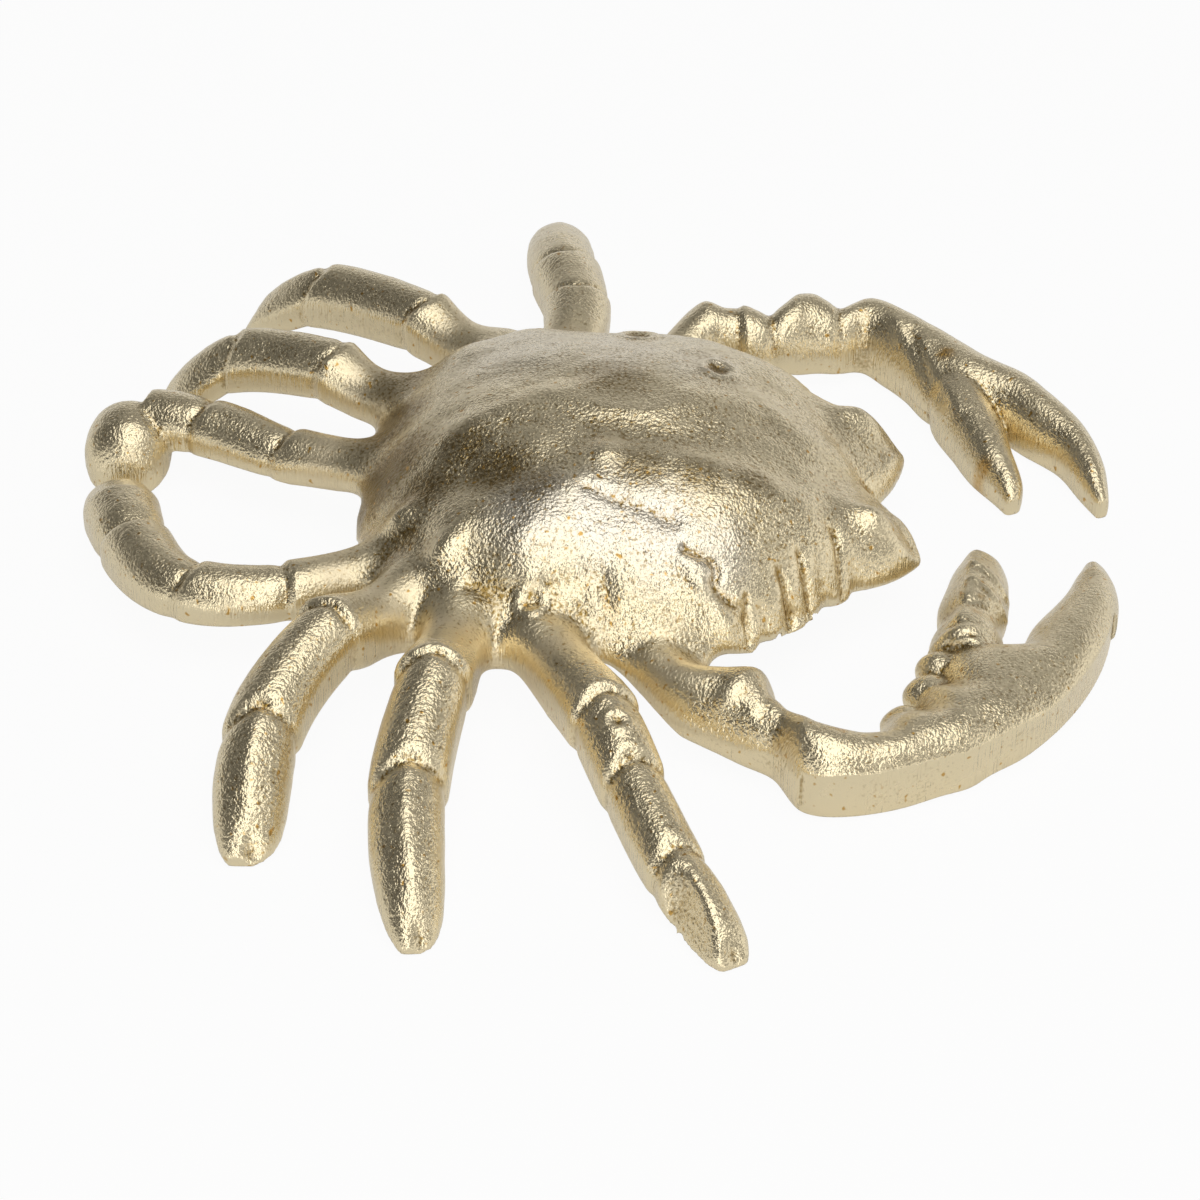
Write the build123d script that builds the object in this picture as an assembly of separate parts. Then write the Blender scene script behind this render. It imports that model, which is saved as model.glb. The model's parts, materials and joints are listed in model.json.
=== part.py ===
"""A crab ornament: one hollow body casting, eight leg castings and two claw castings, welded on.

Lengths are in millimetres. +Z is up, the crab faces -Y and its right side is -X. The origin is on
the table, under the middle of the whole figure.
"""
from build123d import *
import math
import os

os.makedirs("parts", exist_ok=True)

# Shell of the body
shell_width = 100.0
shell_length = 107.0
shell_height = 34.0
rim_height = 13.0
rim_bottom = 9.5
wall_thickness = 4.5
tooth_depth = 1.8
lobe_height = 2.4
lobe_radius = 9.5
surface_pitch = 5.0
surface_tolerance = 0.05
overrun = 80.0

# Legs, the two rear ones ending in lobes that curl towards each other
leg_width = 13.4
knee_height = 24.0
front_leg_reach = 74.0
second_leg_reach = 70.0
third_leg_reach = 60.0
rear_leg_reach = 50.0
rear_leg_gap = 6.0

# Claws
claw_reach = 100.0
claw_height = 14.0

# Welds between the castings
weld_width = 5.0
weld_depth = 2.4
weld_crown = 0.35
stub_length = 15.0

# Shares of a limb's section: its filed side, its fullest arch, and the buried end of its stub
side_share = 0.34
hollow_width_share = 0.97
hollow_corner_share = 0.30
arch_share = 0.49
stub_width_share = 0.75
stub_top_share = 0.72

# How a leg swells and pinches along each segment and towards its tip: way along, then fullness
root_segment_shares = ((0.0, 1.0), (0.5, 1.04), (0.9, 0.98))
segment_shares = ((0.0, 0.87), (0.10, 0.99), (0.50, 1.04), (0.90, 0.98))
tip_shares = ((0.0, 0.87), (0.10, 0.98), (0.45, 1.0), (0.75, 0.86), (0.92, 0.58), (1.0, 0.28))
lobe_shares = ((0.0, 0.80), (0.20, 1.0), (0.55, 1.0), (0.80, 0.80), (0.95, 0.50), (1.0, 0.25))
round_lobe_shares = ((0.0, 0.45), (0.06, 0.72), (0.18, 0.95), (0.35, 1.0), (0.62, 1.0), (0.84, 0.78),
                     (0.96, 0.48), (1.0, 0.25))

# Half outline of the shell from the notch between the horns, across in shares of half its width
# and along in shares of its length
notch_share = (0.0, -0.460)
brow_share = (0.16, -0.507)
horn_share = (0.36, -0.535)
horn_side_share = (0.49, -0.475)
tooth_shares = ((0.55, -0.402), (0.65, -0.347), (0.755, -0.287), (0.875, -0.234), (0.98, -0.172))
side_shares = ((1.02, -0.03), (0.985, 0.16), (0.92, 0.31), (0.73, 0.41), (0.42, 0.457), (0.0, 0.463))

# The dome of the shell: how square it is behind, how much of its fall comes late at the sides and
# in front, how far forward its crest runs, how much it narrows to the horns, its flared rim, and how
# far its surface runs on past the outline
squareness_share = 2.6
late_power_share = 6
side_fall_share = 0.55
brow_fall_share = 0.35
brow_line_share = 0.47
narrow_from_share = 0.20
narrow_by_share = 0.57
rim_flare_share = 0.20
field_width_share = 0.53
field_length_share = 0.57

# Swellings of the shell: across, along, radius and height, as shares of the sizes above
swelling_shares = (
    (0.0, -0.04, 2.1, 1.0),
    (0.44, -0.20, 1.7, 0.8),
    (0.46, 0.12, 1.7, 0.7),
    (0.0, 0.25, 1.4, 0.7),
    (0.66, 0.30, 0.8, 1.2),
    (0.80, 0.17, 0.8, 1.0),
    (0.50, -0.34, 0.9, 0.7),
    (0.34, -0.47, 0.8, 1.2),
)

# Limb tables. A leg's rows are its joints from root to tip: outwards and backwards as shares of its
# reach, width as a share of the leg width, top and bottom as shares of the knee height.
leg_names = ("front_leg", "second_leg", "third_leg", "rear_leg")
root_shares = {
    "right_front_leg": (1.12, 0.105),
    "right_second_leg": (1.05, 0.290),
    "right_third_leg": (0.86, 0.422),
    "right_rear_leg": (0.56, 0.500),
    "left_front_leg": (1.12, 0.085),
    "left_second_leg": (1.07, 0.300),
    "left_third_leg": (0.69, 0.462),
    "left_rear_leg": (0.26, 0.520),
}
rear_line_share = 0.30
right_front_shares = (
    (0, 0, 0.92, 0.81, 0.27), (0.22, -0.1, 0.98, 0.84, 0.35), (0.4, -0.165, 0.86, 0.65, 0.21),
    (0.65, -0.26, 0.78, 0.46, 0.08), (0.9, -0.385, 0.76, 0.27, 0),
)
right_second_shares = (
    (0, 0, 0.9, 0.86, 0.31), (0.19, 0.04, 1.0, 1.0, 0.42), (0.5, 0.095, 1.0, 0.69, 0.19),
    (0.95, 0.055, 0.86, 0.27, 0),
)
right_third_shares = (
    (0, 0, 0.9, 0.86, 0.31), (0.14, 0.13, 1.0, 1.0, 0.45), (0.5, 0.31, 1.0, 0.71, 0.25),
    (0.89, 0.32, 0.98, 0.3, 0),
)
right_rear_shares = (
    (0, 0, 0.9, 0.75, 0.35), (-0.06, 0.17, 0.95, 0.71, 0.35), (-0.03, 0.52, 0.98, 0.69, 0.31),
    (0.42, 0.77, 1.02, 0.65, 0.2), (1.0, 0.895, 1.14, 0.55, 0.03),
)
left_front_shares = (
    (0, 0, 0.92, 0.73, 0.25), (0.25, -0.025, 1.04, 0.77, 0.25), (0.48, 0.005, 1.08, 0.71, 0.18),
    (0.93, 0.02, 1.06, 0.36, 0),
)
left_second_shares = (
    (0, 0, 0.9, 0.87, 0.4), (0.08, 0.09, 0.96, 1.0, 0.49), (0.35, 0.42, 1.0, 0.79, 0.31),
    (0.43, 0.65, 0.86, 0.34, 0),
)
left_third_shares = (
    (0, 0, 0.9, 0.86, 0.42), (0.07, 0.11, 0.97, 1.01, 0.54), (0.26, 0.47, 1.0, 0.79, 0.34),
    (0.24, 0.73, 0.86, 0.32, 0),
)
left_rear_shares = (
    (0, 0, 0.9, 0.75, 0.32), (0.09, 0.18, 0.95, 0.68, 0.34), (0.31, 0.52, 0.98, 0.68, 0.29),
    (0.4, 0.76, 1.0, 0.66, 0.27),
)
left_lobe_shares = (
    (0.42, 0.84, 1.06, 0.61, 0.2), (0.12, 0.87, 1.14, 0.52, 0.03),
)

# A claw's rows are its inner and outer edge: outwards and forwards as shares of its reach, twice,
# then top and bottom as shares of the claw height.
claw_root_shares = {"right_claw": (1.145, -0.085), "left_claw": (1.15, -0.115)}
right_claw_shares = (
    (-0.028, 0.049, 0.028, -0.049, 1.07, 0.4), (0, 0.085, 0.08, 0, 1.05, 0.29),
    (0, 0.14, 0.12, 0.065, 1.07, 0.21), (0.05, 0.175, 0.16, 0.135, 1.0, 0.14),
    (0.09, 0.195, 0.18, 0.17, 0.89, 0.1), (0.12, 0.235, 0.25, 0.21, 1.04, 0),
    (0.14, 0.275, 0.27, 0.275, 1.0, 0), (0.15, 0.315, 0.26, 0.34, 0.88, 0),
    (0.13, 0.36, 0.24, 0.405, 0.91, 0), (0.05, 0.385, 0.21, 0.475, 0.96, 0),
    (0.03, 0.425, 0.19, 0.52, 0.94, 0), (-0.05, 0.435, 0.15, 0.57, 0.96, 0),
    (-0.06, 0.465, 0.12, 0.61, 0.94, 0), (-0.125, 0.46, 0.08, 0.655, 0.93, 0),
    (-0.18, 0.495, 0.02, 0.705, 0.9, 0), (-0.18, 0.62, -0.06, 0.755, 0.82, 0),
    (-0.26, 0.675, -0.16, 0.805, 0.79, 0), (-0.34, 0.735, -0.27, 0.84, 0.71, 0),
    (-0.42, 0.78, -0.38, 0.855, 0.6, 0), (-0.485, 0.81, -0.475, 0.84, 0.36, 0),
)
right_finger_shares = (
    (-0.15, 0.475, -0.12, 0.6, 0.82, 0), (-0.23, 0.49, -0.2, 0.62, 0.79, 0),
    (-0.26, 0.505, -0.24, 0.62, 0.71, 0), (-0.29, 0.505, -0.27, 0.63, 0.77, 0),
    (-0.4, 0.535, -0.38, 0.65, 0.71, 0), (-0.47, 0.565, -0.45, 0.65, 0.57, 0),
    (-0.5, 0.6, -0.49, 0.635, 0.32, 0),
)
left_claw_shares = (
    (-0.028, 0.049, 0.028, -0.049, 1.0, 0.4), (-0.01, 0.08, 0.09, -0.01, 1.07, 0.41),
    (0.02, 0.09, 0.17, 0.067, 1.24, 0.4), (0.025, 0.13, 0.15, 0.11, 1.14, 0.36),
    (0.01, 0.16, 0.165, 0.15, 1.21, 0.36), (0.02, 0.215, 0.14, 0.2, 1.07, 0.29),
    (0.03, 0.265, 0.21, 0.27, 1.25, 0.21), (0.04, 0.305, 0.22, 0.31, 1.21, 0.2),
    (0.05, 0.355, 0.185, 0.36, 1.04, 0.14), (0.07, 0.405, 0.22, 0.43, 1.1, 0.07),
    (0.04, 0.44, 0.19, 0.49, 1.1, 0), (-0.01, 0.475, 0.13, 0.56, 1.06, 0),
    (-0.06, 0.5, 0.065, 0.63, 1.02, 0), (-0.12, 0.535, 0.015, 0.68, 1.0, 0),
    (-0.17, 0.65, -0.05, 0.74, 0.94, 0), (-0.23, 0.705, -0.125, 0.79, 0.88, 0),
    (-0.3, 0.765, -0.23, 0.84, 0.76, 0), (-0.39, 0.8, -0.36, 0.86, 0.6, 0),
    (-0.46, 0.83, -0.45, 0.855, 0.36, 0),
)
left_finger_shares = (
    (-0.08, 0.535, -0.06, 0.645, 0.92, 0), (-0.15, 0.53, -0.13, 0.655, 0.88, 0),
    (-0.25, 0.56, -0.22, 0.675, 0.79, 0), (-0.35, 0.595, -0.33, 0.685, 0.66, 0),
    (-0.41, 0.63, -0.4, 0.69, 0.5, 0), (-0.45, 0.65, -0.44, 0.68, 0.32, 0),
)


def shell_point(share, z=0.0):
    """A point of the shell, from a share of half its width and a share of its length."""
    return Vector(share[0] * shell_width / 2, share[1] * shell_length, z)


def d_section(left, right, top, bottom, inset=0.0):
    """A closed wire across a limb: flat foot, short filed sides and an arched back."""
    across = (right - left).normalized()
    a = left + across * inset
    b = right - across * inset
    width = (b - a).length
    low = bottom + inset
    high = top - inset
    shoulder = max(low + side_share * (high - low), high - arch_share * width)
    middle = (a + b) / 2
    corners = [Vector(p.X, p.Y, z) for p, z in ((a, low), (b, low), (b, shoulder), (a, shoulder))]
    crown = Vector(middle.X, middle.Y, high)
    return Wire([
        Edge.make_line(corners[0], corners[1]),
        Edge.make_line(corners[1], corners[2]),
        Edge.make_three_point_arc(corners[2], crown, corners[3]),
        Edge.make_line(corners[3], corners[0]),
    ])


class Station:
    """One section of a limb, by the two points that it stands on."""

    def __init__(self, left, right, top, bottom):
        self.left = left
        self.right = right
        self.top = top
        self.bottom = bottom

    def wire(self, inset=0.0):
        """The section's closed wire, drawn in by an inset."""
        return d_section(self.left, self.right, self.top, self.bottom, inset)

    def shifted(self, way, share=1.0, top_share=1.0):
        """The same section further along, narrowed by a share and lowered by another."""
        middle = (self.left + self.right) / 2 + way
        half = (self.right - self.left) * share / 2
        high = self.bottom + (self.top - self.bottom) * top_share
        return Station(middle - half, middle + half, high, self.bottom)


def leg_stations(root, side, reach, across, joint_shares, end_shares):
    """Sections along a curved leg, pinched at each joint and tapered to its end."""
    points = [
        Vector(root.X + side * row[0] * across, root.Y + row[1] * reach, 0)
        for row in joint_shares
    ]
    stations = []
    count = len(points) - 1
    route = Spline(*points)
    places = [route.param_at_point(p) for p in points]
    swellings = ([root_segment_shares] + [segment_shares] * count)[:count - 1] + [end_shares]
    for k in range(count):
        for along, full in swellings[k]:
            t = places[k] + (places[k + 1] - places[k]) * along
            width, top, bottom = (
                near + (far - near) * along for near, far in zip(joint_shares[k][2:], joint_shares[k + 1][2:])
            )
            here = route @ t
            way = route % t
            normal = Vector(-way.Y, way.X, 0).normalized()
            half = normal * (width * leg_width * full / 2)
            low = bottom * knee_height
            high = low + (top - bottom) * knee_height * full
            stations.append(Station(here + half, here - half, high, low))
    return stations


def claw_stations(root, side, rows):
    """Sections of a claw from the table of its two edges."""
    stations = []
    for inner_out, inner_forward, outer_out, outer_forward, top, bottom in rows:
        inner = Vector(root.X + side * inner_out * claw_reach,
                       root.Y - inner_forward * claw_reach, 0)
        outer = Vector(root.X + side * outer_out * claw_reach,
                       root.Y - outer_forward * claw_reach, 0)
        high, low = (level * claw_height for level in (top, bottom))
        stations.append(Station(inner, outer, high, low))
    return stations


def ruled(wires):
    """A solid through closed wires in a row."""
    return Solid.make_loft(wires, ruled=True)


def heading(first, second):
    """The level direction from one section to the next."""
    across = first.right - first.left
    way = Vector(-across.Y, across.X, 0).normalized()
    step = (second.left + second.right) / 2 - (first.left + first.right) / 2
    return way if way.dot(step) > 0 else way * -1


def limb_and_weld(stations):
    """A limb bevelled at its root, the stub of the body that it meets and the weld in the groove."""
    root = stations[0]
    way = heading(root, stations[1])
    half = way * (weld_width / 2)
    outside = root.shifted(half)
    inside = root.shifted(half * -1)
    buried = root.shifted(way * -stub_length, stub_width_share, stub_top_share)
    limb = ruled([root.wire(weld_depth), outside.wire()] + [s.wire() for s in stations[1:]])
    stub = ruled([buried.wire(), inside.wire(), root.wire(weld_depth)])
    bead = ruled([inside.wire(), root.wire(-weld_crown), outside.wire()])
    bead = bead.cut(ruled([inside.wire(), root.wire(weld_depth)]))
    bead = bead.cut(ruled([root.wire(weld_depth), outside.wire()]))
    return limb, stub, bead


def shell_outline():
    """The shell seen from above: two horns, five teeth a side, round sides and a blunt rear."""
    edges = [
        Edge.make_three_point_arc(shell_point(notch_share), shell_point(brow_share), shell_point(horn_share)),
        Edge.make_three_point_arc(
            shell_point(horn_share), shell_point(horn_side_share), shell_point(tooth_shares[0])),
    ]
    for first, second in zip(tooth_shares, tooth_shares[1:]):
        a = shell_point(first)
        b = shell_point(second)
        chord = b - a
        bulge = Vector(chord.Y, -chord.X, 0).normalized() * tooth_depth
        edges.append(Edge.make_three_point_arc(a, (a + b) / 2 + bulge, b))
    side = [shell_point(tooth_shares[-1])] + [shell_point(share) for share in side_shares]
    for k in range(0, len(side) - 1, 2):
        edges.append(Edge.make_three_point_arc(side[k], side[k + 1], side[k + 2]))
    return Wire(edges + [edge.mirror(Plane.YZ) for edge in edges])


def still_up(share, late_share):
    """How much of the dome's rise is left at a share of the way to its edge."""
    left = 1 - (1 - late_share) * share ** 2 - late_share * share ** late_power_share
    return (left + math.hypot(left, rim_flare_share)) / (1 + math.hypot(1, rim_flare_share))


def shell_rise(x, y):
    """Height of the shell's back at a place: a dome that narrows to the horns, with its swellings."""
    across = abs(x) / (shell_width / 2)
    if y < 0:
        ahead = y / (horn_share[1] * shell_length)
        narrow = min(1.0, max(0.0, (ahead - narrow_from_share) / (1 - narrow_from_share)))
        width_share = 1 - narrow_by_share * (3 - 2 * narrow) * narrow ** 2
        forward = -y / (brow_line_share * shell_length)
        rise_share = still_up(across / width_share, side_fall_share) * still_up(forward, brow_fall_share)
    else:
        behind = y / (side_shares[-1][1] * shell_length)
        round_way = (across ** squareness_share + behind ** squareness_share) ** (1 / squareness_share)
        rise_share = still_up(round_way, side_fall_share)
    rise = (shell_height - rim_height) * rise_share
    for across_share, along_share, radius_share, height_share in swelling_shares:
        for sign in (-1, 1):
            if sign == 1 and across_share == 0:
                continue
            middle = shell_point((sign * across_share, along_share))
            distance = math.hypot(x - middle.X, y - middle.Y) / (lobe_radius * radius_share)
            rise += lobe_height * height_share * math.exp(-distance ** 2)
    return rim_height + rise


def shell_back(drop):
    """The shell's back as one surface, lowered by a drop."""
    reach_across = shell_width * field_width_share
    reach_along = shell_length * field_length_share
    columns = math.ceil(2 * reach_across / surface_pitch)
    rows = math.ceil(2 * reach_along / surface_pitch)
    grid = []
    for i in range(columns + 1):
        x = -reach_across + 2 * reach_across * i / columns
        line = []
        for j in range(rows + 1):
            y = -reach_along + 2 * reach_along * j / rows
            line.append(Vector(x, y, shell_rise(x, y) - drop))
        grid.append(line)
    return Face.make_surface_from_array_of_points(grid, tol=surface_tolerance, min_deg=3, max_deg=3)


def shell_solid():
    """The shell as a solid block, before its underside is hollowed."""
    block = Solid.extrude(shell_back(0), Vector(0, 0, -overrun))
    prism = Solid.extrude(Face(shell_outline()), Vector(0, 0, overrun))
    return block & prism.moved(Location((0, 0, rim_bottom)))


def hollow():
    """The space under the shell, one wall inside its back and its sides."""
    front = tooth_shares[1][1] * shell_length + 2 * wall_thickness
    rear = side_shares[-1][1] * shell_length - wall_thickness
    width = shell_width - 2 * wall_thickness
    outline = RectangleRounded(width * hollow_width_share, rear - front, width * hollow_corner_share)
    foot = outline.face().moved(Location((0, (front + rear) / 2, 0)))
    prism = Solid.extrude(foot, Vector(0, 0, overrun))
    block = Solid.extrude(shell_back(wall_thickness), Vector(0, 0, -overrun))
    return block & prism


def build():
    """Every piece of the crab by name."""
    pieces = {}
    body = shell_solid()
    limbs = {}
    for side, word, tables in (
        (-1, "right", (right_front_shares, right_second_shares, right_third_shares, right_rear_shares)),
        (1, "left", (left_front_shares, left_second_shares, left_third_shares, left_rear_shares)),
    ):
        reaches = (front_leg_reach, second_leg_reach, third_leg_reach, rear_leg_reach)
        for name, reach, table in zip(leg_names, reaches, tables):
            out_share, along_share = root_shares[word + "_" + name]
            root = shell_point((side * out_share, along_share))
            across = reach
            ends = tip_shares
            if word == "right" and name == "rear_leg":
                across = -(rear_line_share * shell_width / 2 - rear_leg_gap / 2 - root.X)
                ends = lobe_shares
            if word == "left" and name == "rear_leg":
                ends = segment_shares
            limbs[word + "_" + name] = leg_stations(root, side, reach, across, table, ends)
        root_share = claw_root_shares[word + "_claw"]
        root = shell_point((side * root_share[0], root_share[1]))
        limbs[word + "_claw"] = claw_stations(root, side, right_claw_shares if side < 0 else left_claw_shares)
    for name, stations in limbs.items():
        limb, stub, bead = limb_and_weld(stations)
        if name.endswith("claw"):
            side = -1 if name.startswith("right") else 1
            root = shell_point((side * claw_root_shares[name][0], claw_root_shares[name][1]))
            table = right_finger_shares if side < 0 else left_finger_shares
            limb = limb.fuse(ruled([s.wire() for s in claw_stations(root, side, table)]))
        if name == "left_rear_leg":
            root = shell_point(tuple(root_shares[name]))
            lobe = leg_stations(root, 1, rear_leg_reach, rear_leg_reach, left_lobe_shares, round_lobe_shares)
            limb = limb.fuse(ruled([s.wire() for s in lobe]))
        pieces[name] = limb
        pieces[name + "_weld"] = bead
        body = body.fuse(stub)
    pieces["body_casting"] = body.cut(hollow())
    return pieces


pieces = build()
boxes = [piece.bounding_box() for piece in pieces.values()]
middle_x = (min(b.min.X for b in boxes) + max(b.max.X for b in boxes)) / 2
middle_y = (min(b.min.Y for b in boxes) + max(b.max.Y for b in boxes)) / 2
to_middle = Location((-middle_x, -middle_y, 0))
for name, piece in pieces.items():
    export_step(piece.moved(to_middle), "parts/" + name + ".step")
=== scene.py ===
"""Looks of the crab ornament: ten limbs, ten welds and a hollow body in sand-cast aluminium.

The whole crab is modelled once as overlapping closed forms, fused, hammered and chased like a
pattern, and then sawn along the welds, so that every piece stands for its own CAD node. Tables are
in millimetres in the frame of the part; meshes are in metres.
"""
import json
import logging
import math
from dataclasses import dataclass
from enum import Enum

import bmesh
import bpy
import numpy as np
from mathutils import Matrix, Vector, noise
from mathutils.bvhtree import BVHTree

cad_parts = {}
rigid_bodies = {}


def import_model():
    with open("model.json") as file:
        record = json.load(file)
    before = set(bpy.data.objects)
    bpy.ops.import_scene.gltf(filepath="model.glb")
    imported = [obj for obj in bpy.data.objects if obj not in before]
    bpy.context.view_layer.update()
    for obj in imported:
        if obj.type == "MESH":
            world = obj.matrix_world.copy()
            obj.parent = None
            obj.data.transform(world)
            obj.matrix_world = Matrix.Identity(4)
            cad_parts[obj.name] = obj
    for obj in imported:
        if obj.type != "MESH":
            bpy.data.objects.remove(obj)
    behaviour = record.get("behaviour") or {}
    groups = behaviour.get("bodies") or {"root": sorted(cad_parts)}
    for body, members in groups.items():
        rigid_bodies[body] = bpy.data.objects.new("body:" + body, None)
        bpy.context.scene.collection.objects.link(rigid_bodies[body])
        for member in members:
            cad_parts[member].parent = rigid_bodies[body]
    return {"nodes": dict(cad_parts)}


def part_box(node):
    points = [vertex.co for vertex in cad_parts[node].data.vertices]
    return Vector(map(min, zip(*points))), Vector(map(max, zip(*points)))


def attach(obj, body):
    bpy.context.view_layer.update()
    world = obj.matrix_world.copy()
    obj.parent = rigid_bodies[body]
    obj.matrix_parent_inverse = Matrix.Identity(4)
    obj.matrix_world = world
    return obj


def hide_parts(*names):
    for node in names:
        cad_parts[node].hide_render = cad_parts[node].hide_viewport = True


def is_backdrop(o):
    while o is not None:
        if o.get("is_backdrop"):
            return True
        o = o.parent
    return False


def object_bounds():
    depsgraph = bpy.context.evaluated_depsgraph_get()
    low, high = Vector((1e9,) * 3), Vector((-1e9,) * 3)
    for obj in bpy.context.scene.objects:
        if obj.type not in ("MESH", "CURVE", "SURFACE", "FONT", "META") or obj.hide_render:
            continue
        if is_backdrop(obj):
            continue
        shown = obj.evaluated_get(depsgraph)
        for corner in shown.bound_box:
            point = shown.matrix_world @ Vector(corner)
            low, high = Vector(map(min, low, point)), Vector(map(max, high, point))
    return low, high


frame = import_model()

log = logging.getLogger("crab")

MM = 0.001  # A millimetre in metres.
PHOTO_SIDE = 1200  # Pixels along each side of the photograph.
NEAR_ZERO = 1e-9  # Room for rounding in sines and cross products.
TOUCH = 1e-6  # Distance in metres at which points are one.

VOXEL = 0.55  # Grid of the fused skin.
AROUND = 40  # Points around the section of a limb.
STEP = 0.9  # Distance between the sections of a limb.
WELD = 5.0  # Length of each weld along its limb.
FOOT_CORNER = 0.35  # Squareness of a section's foot: 1 is round, near 0 is square.
CHEVRON_MIDDLE = 0.6  # Where across a leg its laps stay in place when they bend.
# Attributes read by the finish: depth of hollows (partly painted shade), satin, filed flanks,
# stains, painted shade and painted sheen.
LAYERS = ("hollow", "satin", "filed", "stain", "dark", "worn")

Rows = tuple[tuple[float, ...], ...]
Point = tuple[float, float]
Place = tuple[float, float, float]
Colour = tuple[float, float, float, float]
Socket = bpy.types.NodeSocket


class Slot(Enum):
    """Material slots of the record."""

    CAST = "cast_metal"
    WELD = "weld_metal"


class Kind(Enum):
    """Kinds of socket on a node group."""

    VECTOR = "NodeSocketVector"
    COLOUR = "NodeSocketColor"
    NUMBER = "NodeSocketFloat"


class Ending(Enum):
    """How full the last segment of a leg is at shares of its length."""

    TIP = ((0.0, 0.94), (0.12, 1.0), (0.35, 1.03), (0.62, 0.97),
           (0.80, 0.84), (0.91, 0.64), (0.97, 0.42), (1.0, 0.12))
    LOBE = ((0.0, 0.88), (0.20, 1.0), (0.55, 1.03), (0.80, 0.88),
            (0.91, 0.68), (0.97, 0.45), (1.0, 0.15))
    ROUND = ((0.0, 0.70), (0.08, 0.88), (0.20, 1.0), (0.40, 1.06),
             (0.66, 1.04), (0.84, 0.88), (0.95, 0.66), (1.0, 0.45))
    PLAIN = ((0.0, 0.93), (0.15, 0.99), (0.50, 1.04), (0.90, 1.02), (1.0, 1.0))


# The same for the first segment and for those between it and the last.
FIRST_LAP = ((0.0, 1.0), (0.35, 1.0), (0.75, 1.03), (0.93, 1.04), (1.0, 1.01))
LAP = ((0.0, 0.94), (0.12, 0.97), (0.45, 1.01), (0.78, 1.04), (0.94, 1.04), (1.0, 1.01))


def read(items: bpy.types.bpy_prop_collection, field_name: str, width: int) -> np.ndarray:
    """Reads one property of many items.

    Args:
        items: Vertices, corners or the like.
        field_name: Which property.
        width: How many numbers it has.

    Returns:
        One row of numbers for each item.
    """
    flat = np.empty(len(items) * width, np.float32)
    items.foreach_get(field_name, flat)
    return flat.reshape(-1, width).astype(float)


def finished(form: bmesh.types.BMesh, name: str) -> bpy.types.Mesh:
    """Turns a bmesh into a mesh and frees it.

    Args:
        form: The bmesh.
        name: Name of the new mesh.

    Returns:
        The new mesh.
    """
    mesh = bpy.data.meshes.new(name)
    form.to_mesh(mesh)
    form.free()
    return mesh


def new_object(name: str, mesh: bpy.types.Mesh) -> bpy.types.Object:
    """Puts a mesh in the scene at the origin.

    Args:
        name: Name of the new object.
        mesh: Its mesh.

    Returns:
        The new object.
    """
    piece = bpy.data.objects.new(name, mesh)
    bpy.context.scene.collection.objects.link(piece)
    return piece


def applied(piece: bpy.types.Object) -> bpy.types.Mesh:
    """Carries out an object's modifiers.

    Args:
        piece: The object, which stays as it is.

    Returns:
        A new mesh with its attributes.
    """
    graph = bpy.context.evaluated_depsgraph_get()
    return bpy.data.meshes.new_from_object(
        piece.evaluated_get(graph), preserve_all_data_layers=True, depsgraph=graph)


def lengths_along(points: np.ndarray) -> np.ndarray:
    """Measures a line in plan.

    Args:
        points: Its points, one row each.

    Returns:
        The length from the first point to each of them.
    """
    return np.concatenate(([0], np.cumsum(np.hypot(*np.diff(points, axis=0).T))))


def spline(knots: np.ndarray, values: np.ndarray, at: np.ndarray) -> np.ndarray:
    """Natural cubic spline.

    Args:
        knots: Rising places of the known values.
        values: The known values, one row to a knot.
        at: Places to work out.

    Returns:
        One row of values for each place.
    """
    count = len(knots)
    step = np.diff(knots)
    slope = np.diff(values, axis=0) / step[:, None]
    system = np.eye(count)
    right = np.zeros_like(values, dtype=float)
    for i in range(1, count - 1):
        system[i, i - 1:i + 2] = (step[i - 1], 2 * (step[i - 1] + step[i]), step[i])
        right[i] = 6 * (slope[i] - slope[i - 1])
    bend = np.linalg.solve(system, right)
    k = np.clip(np.searchsorted(knots, at) - 1, 0, count - 2)
    h = step[k][:, None]
    a = (knots[k + 1] - at)[:, None] / h
    b = 1 - a
    return (a * values[k] + b * values[k + 1]
            + ((a ** 3 - a) * bend[k] + (b ** 3 - b) * bend[k + 1]) * h ** 2 / 6)


def arc(first: Point, middle: Point, last: Point, count: int = 24) -> np.ndarray:
    """Draws a circular arc through three points.

    Args:
        first: Where it starts.
        middle: A point that it passes through.
        last: Where it ends.
        count: How many points to give.

    Returns:
        The points, without the last one.
    """
    a, b, c = (complex(*p) for p in (first, middle, last))
    share = np.linspace(0, 1, count, endpoint=False)
    ratio = (c - a) / (b - a)
    if abs(ratio.imag) < NEAR_ZERO:
        way = a + (c - a) * share
    else:
        centre = a - (a - b) * (ratio - abs(ratio) ** 2) / 2j / ratio.imag
        start, mid, end = (np.angle(p - centre) for p in (a, b, c))
        sweep = (end - start) % (2 * math.pi)
        if (mid - start) % (2 * math.pi) > sweep:
            sweep -= 2 * math.pi
        way = centre + abs(a - centre) * np.exp(1j * (start + sweep * share))
    return np.stack((way.real, way.imag), 1)


def wrap(name: str, places: np.ndarray) -> bpy.types.Mesh:
    """Wraps a flat grid round a form and closes it.

    Args:
        name: Name of the new mesh.
        places: Points in millimetres, rows along the form and columns once around it.

    Returns:
        A closed mesh in metres.
    """
    rows, columns = places.shape[:2]
    form = bmesh.new()
    bmesh.ops.create_grid(form, x_segments=columns - 1, y_segments=rows - 1, size=0.5)
    for v in form.verts:
        column = round((v.co.x + 0.5) * (columns - 1))
        row = round((v.co.y + 0.5) * (rows - 1))
        v.co = Vector(places[row, column]) * MM
    bmesh.ops.remove_doubles(form, verts=form.verts, dist=TOUCH)
    bmesh.ops.holes_fill(form, edges=form.edges, sides=0)
    bmesh.ops.recalc_face_normals(form, faces=form.faces)
    return finished(form, name)


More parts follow.
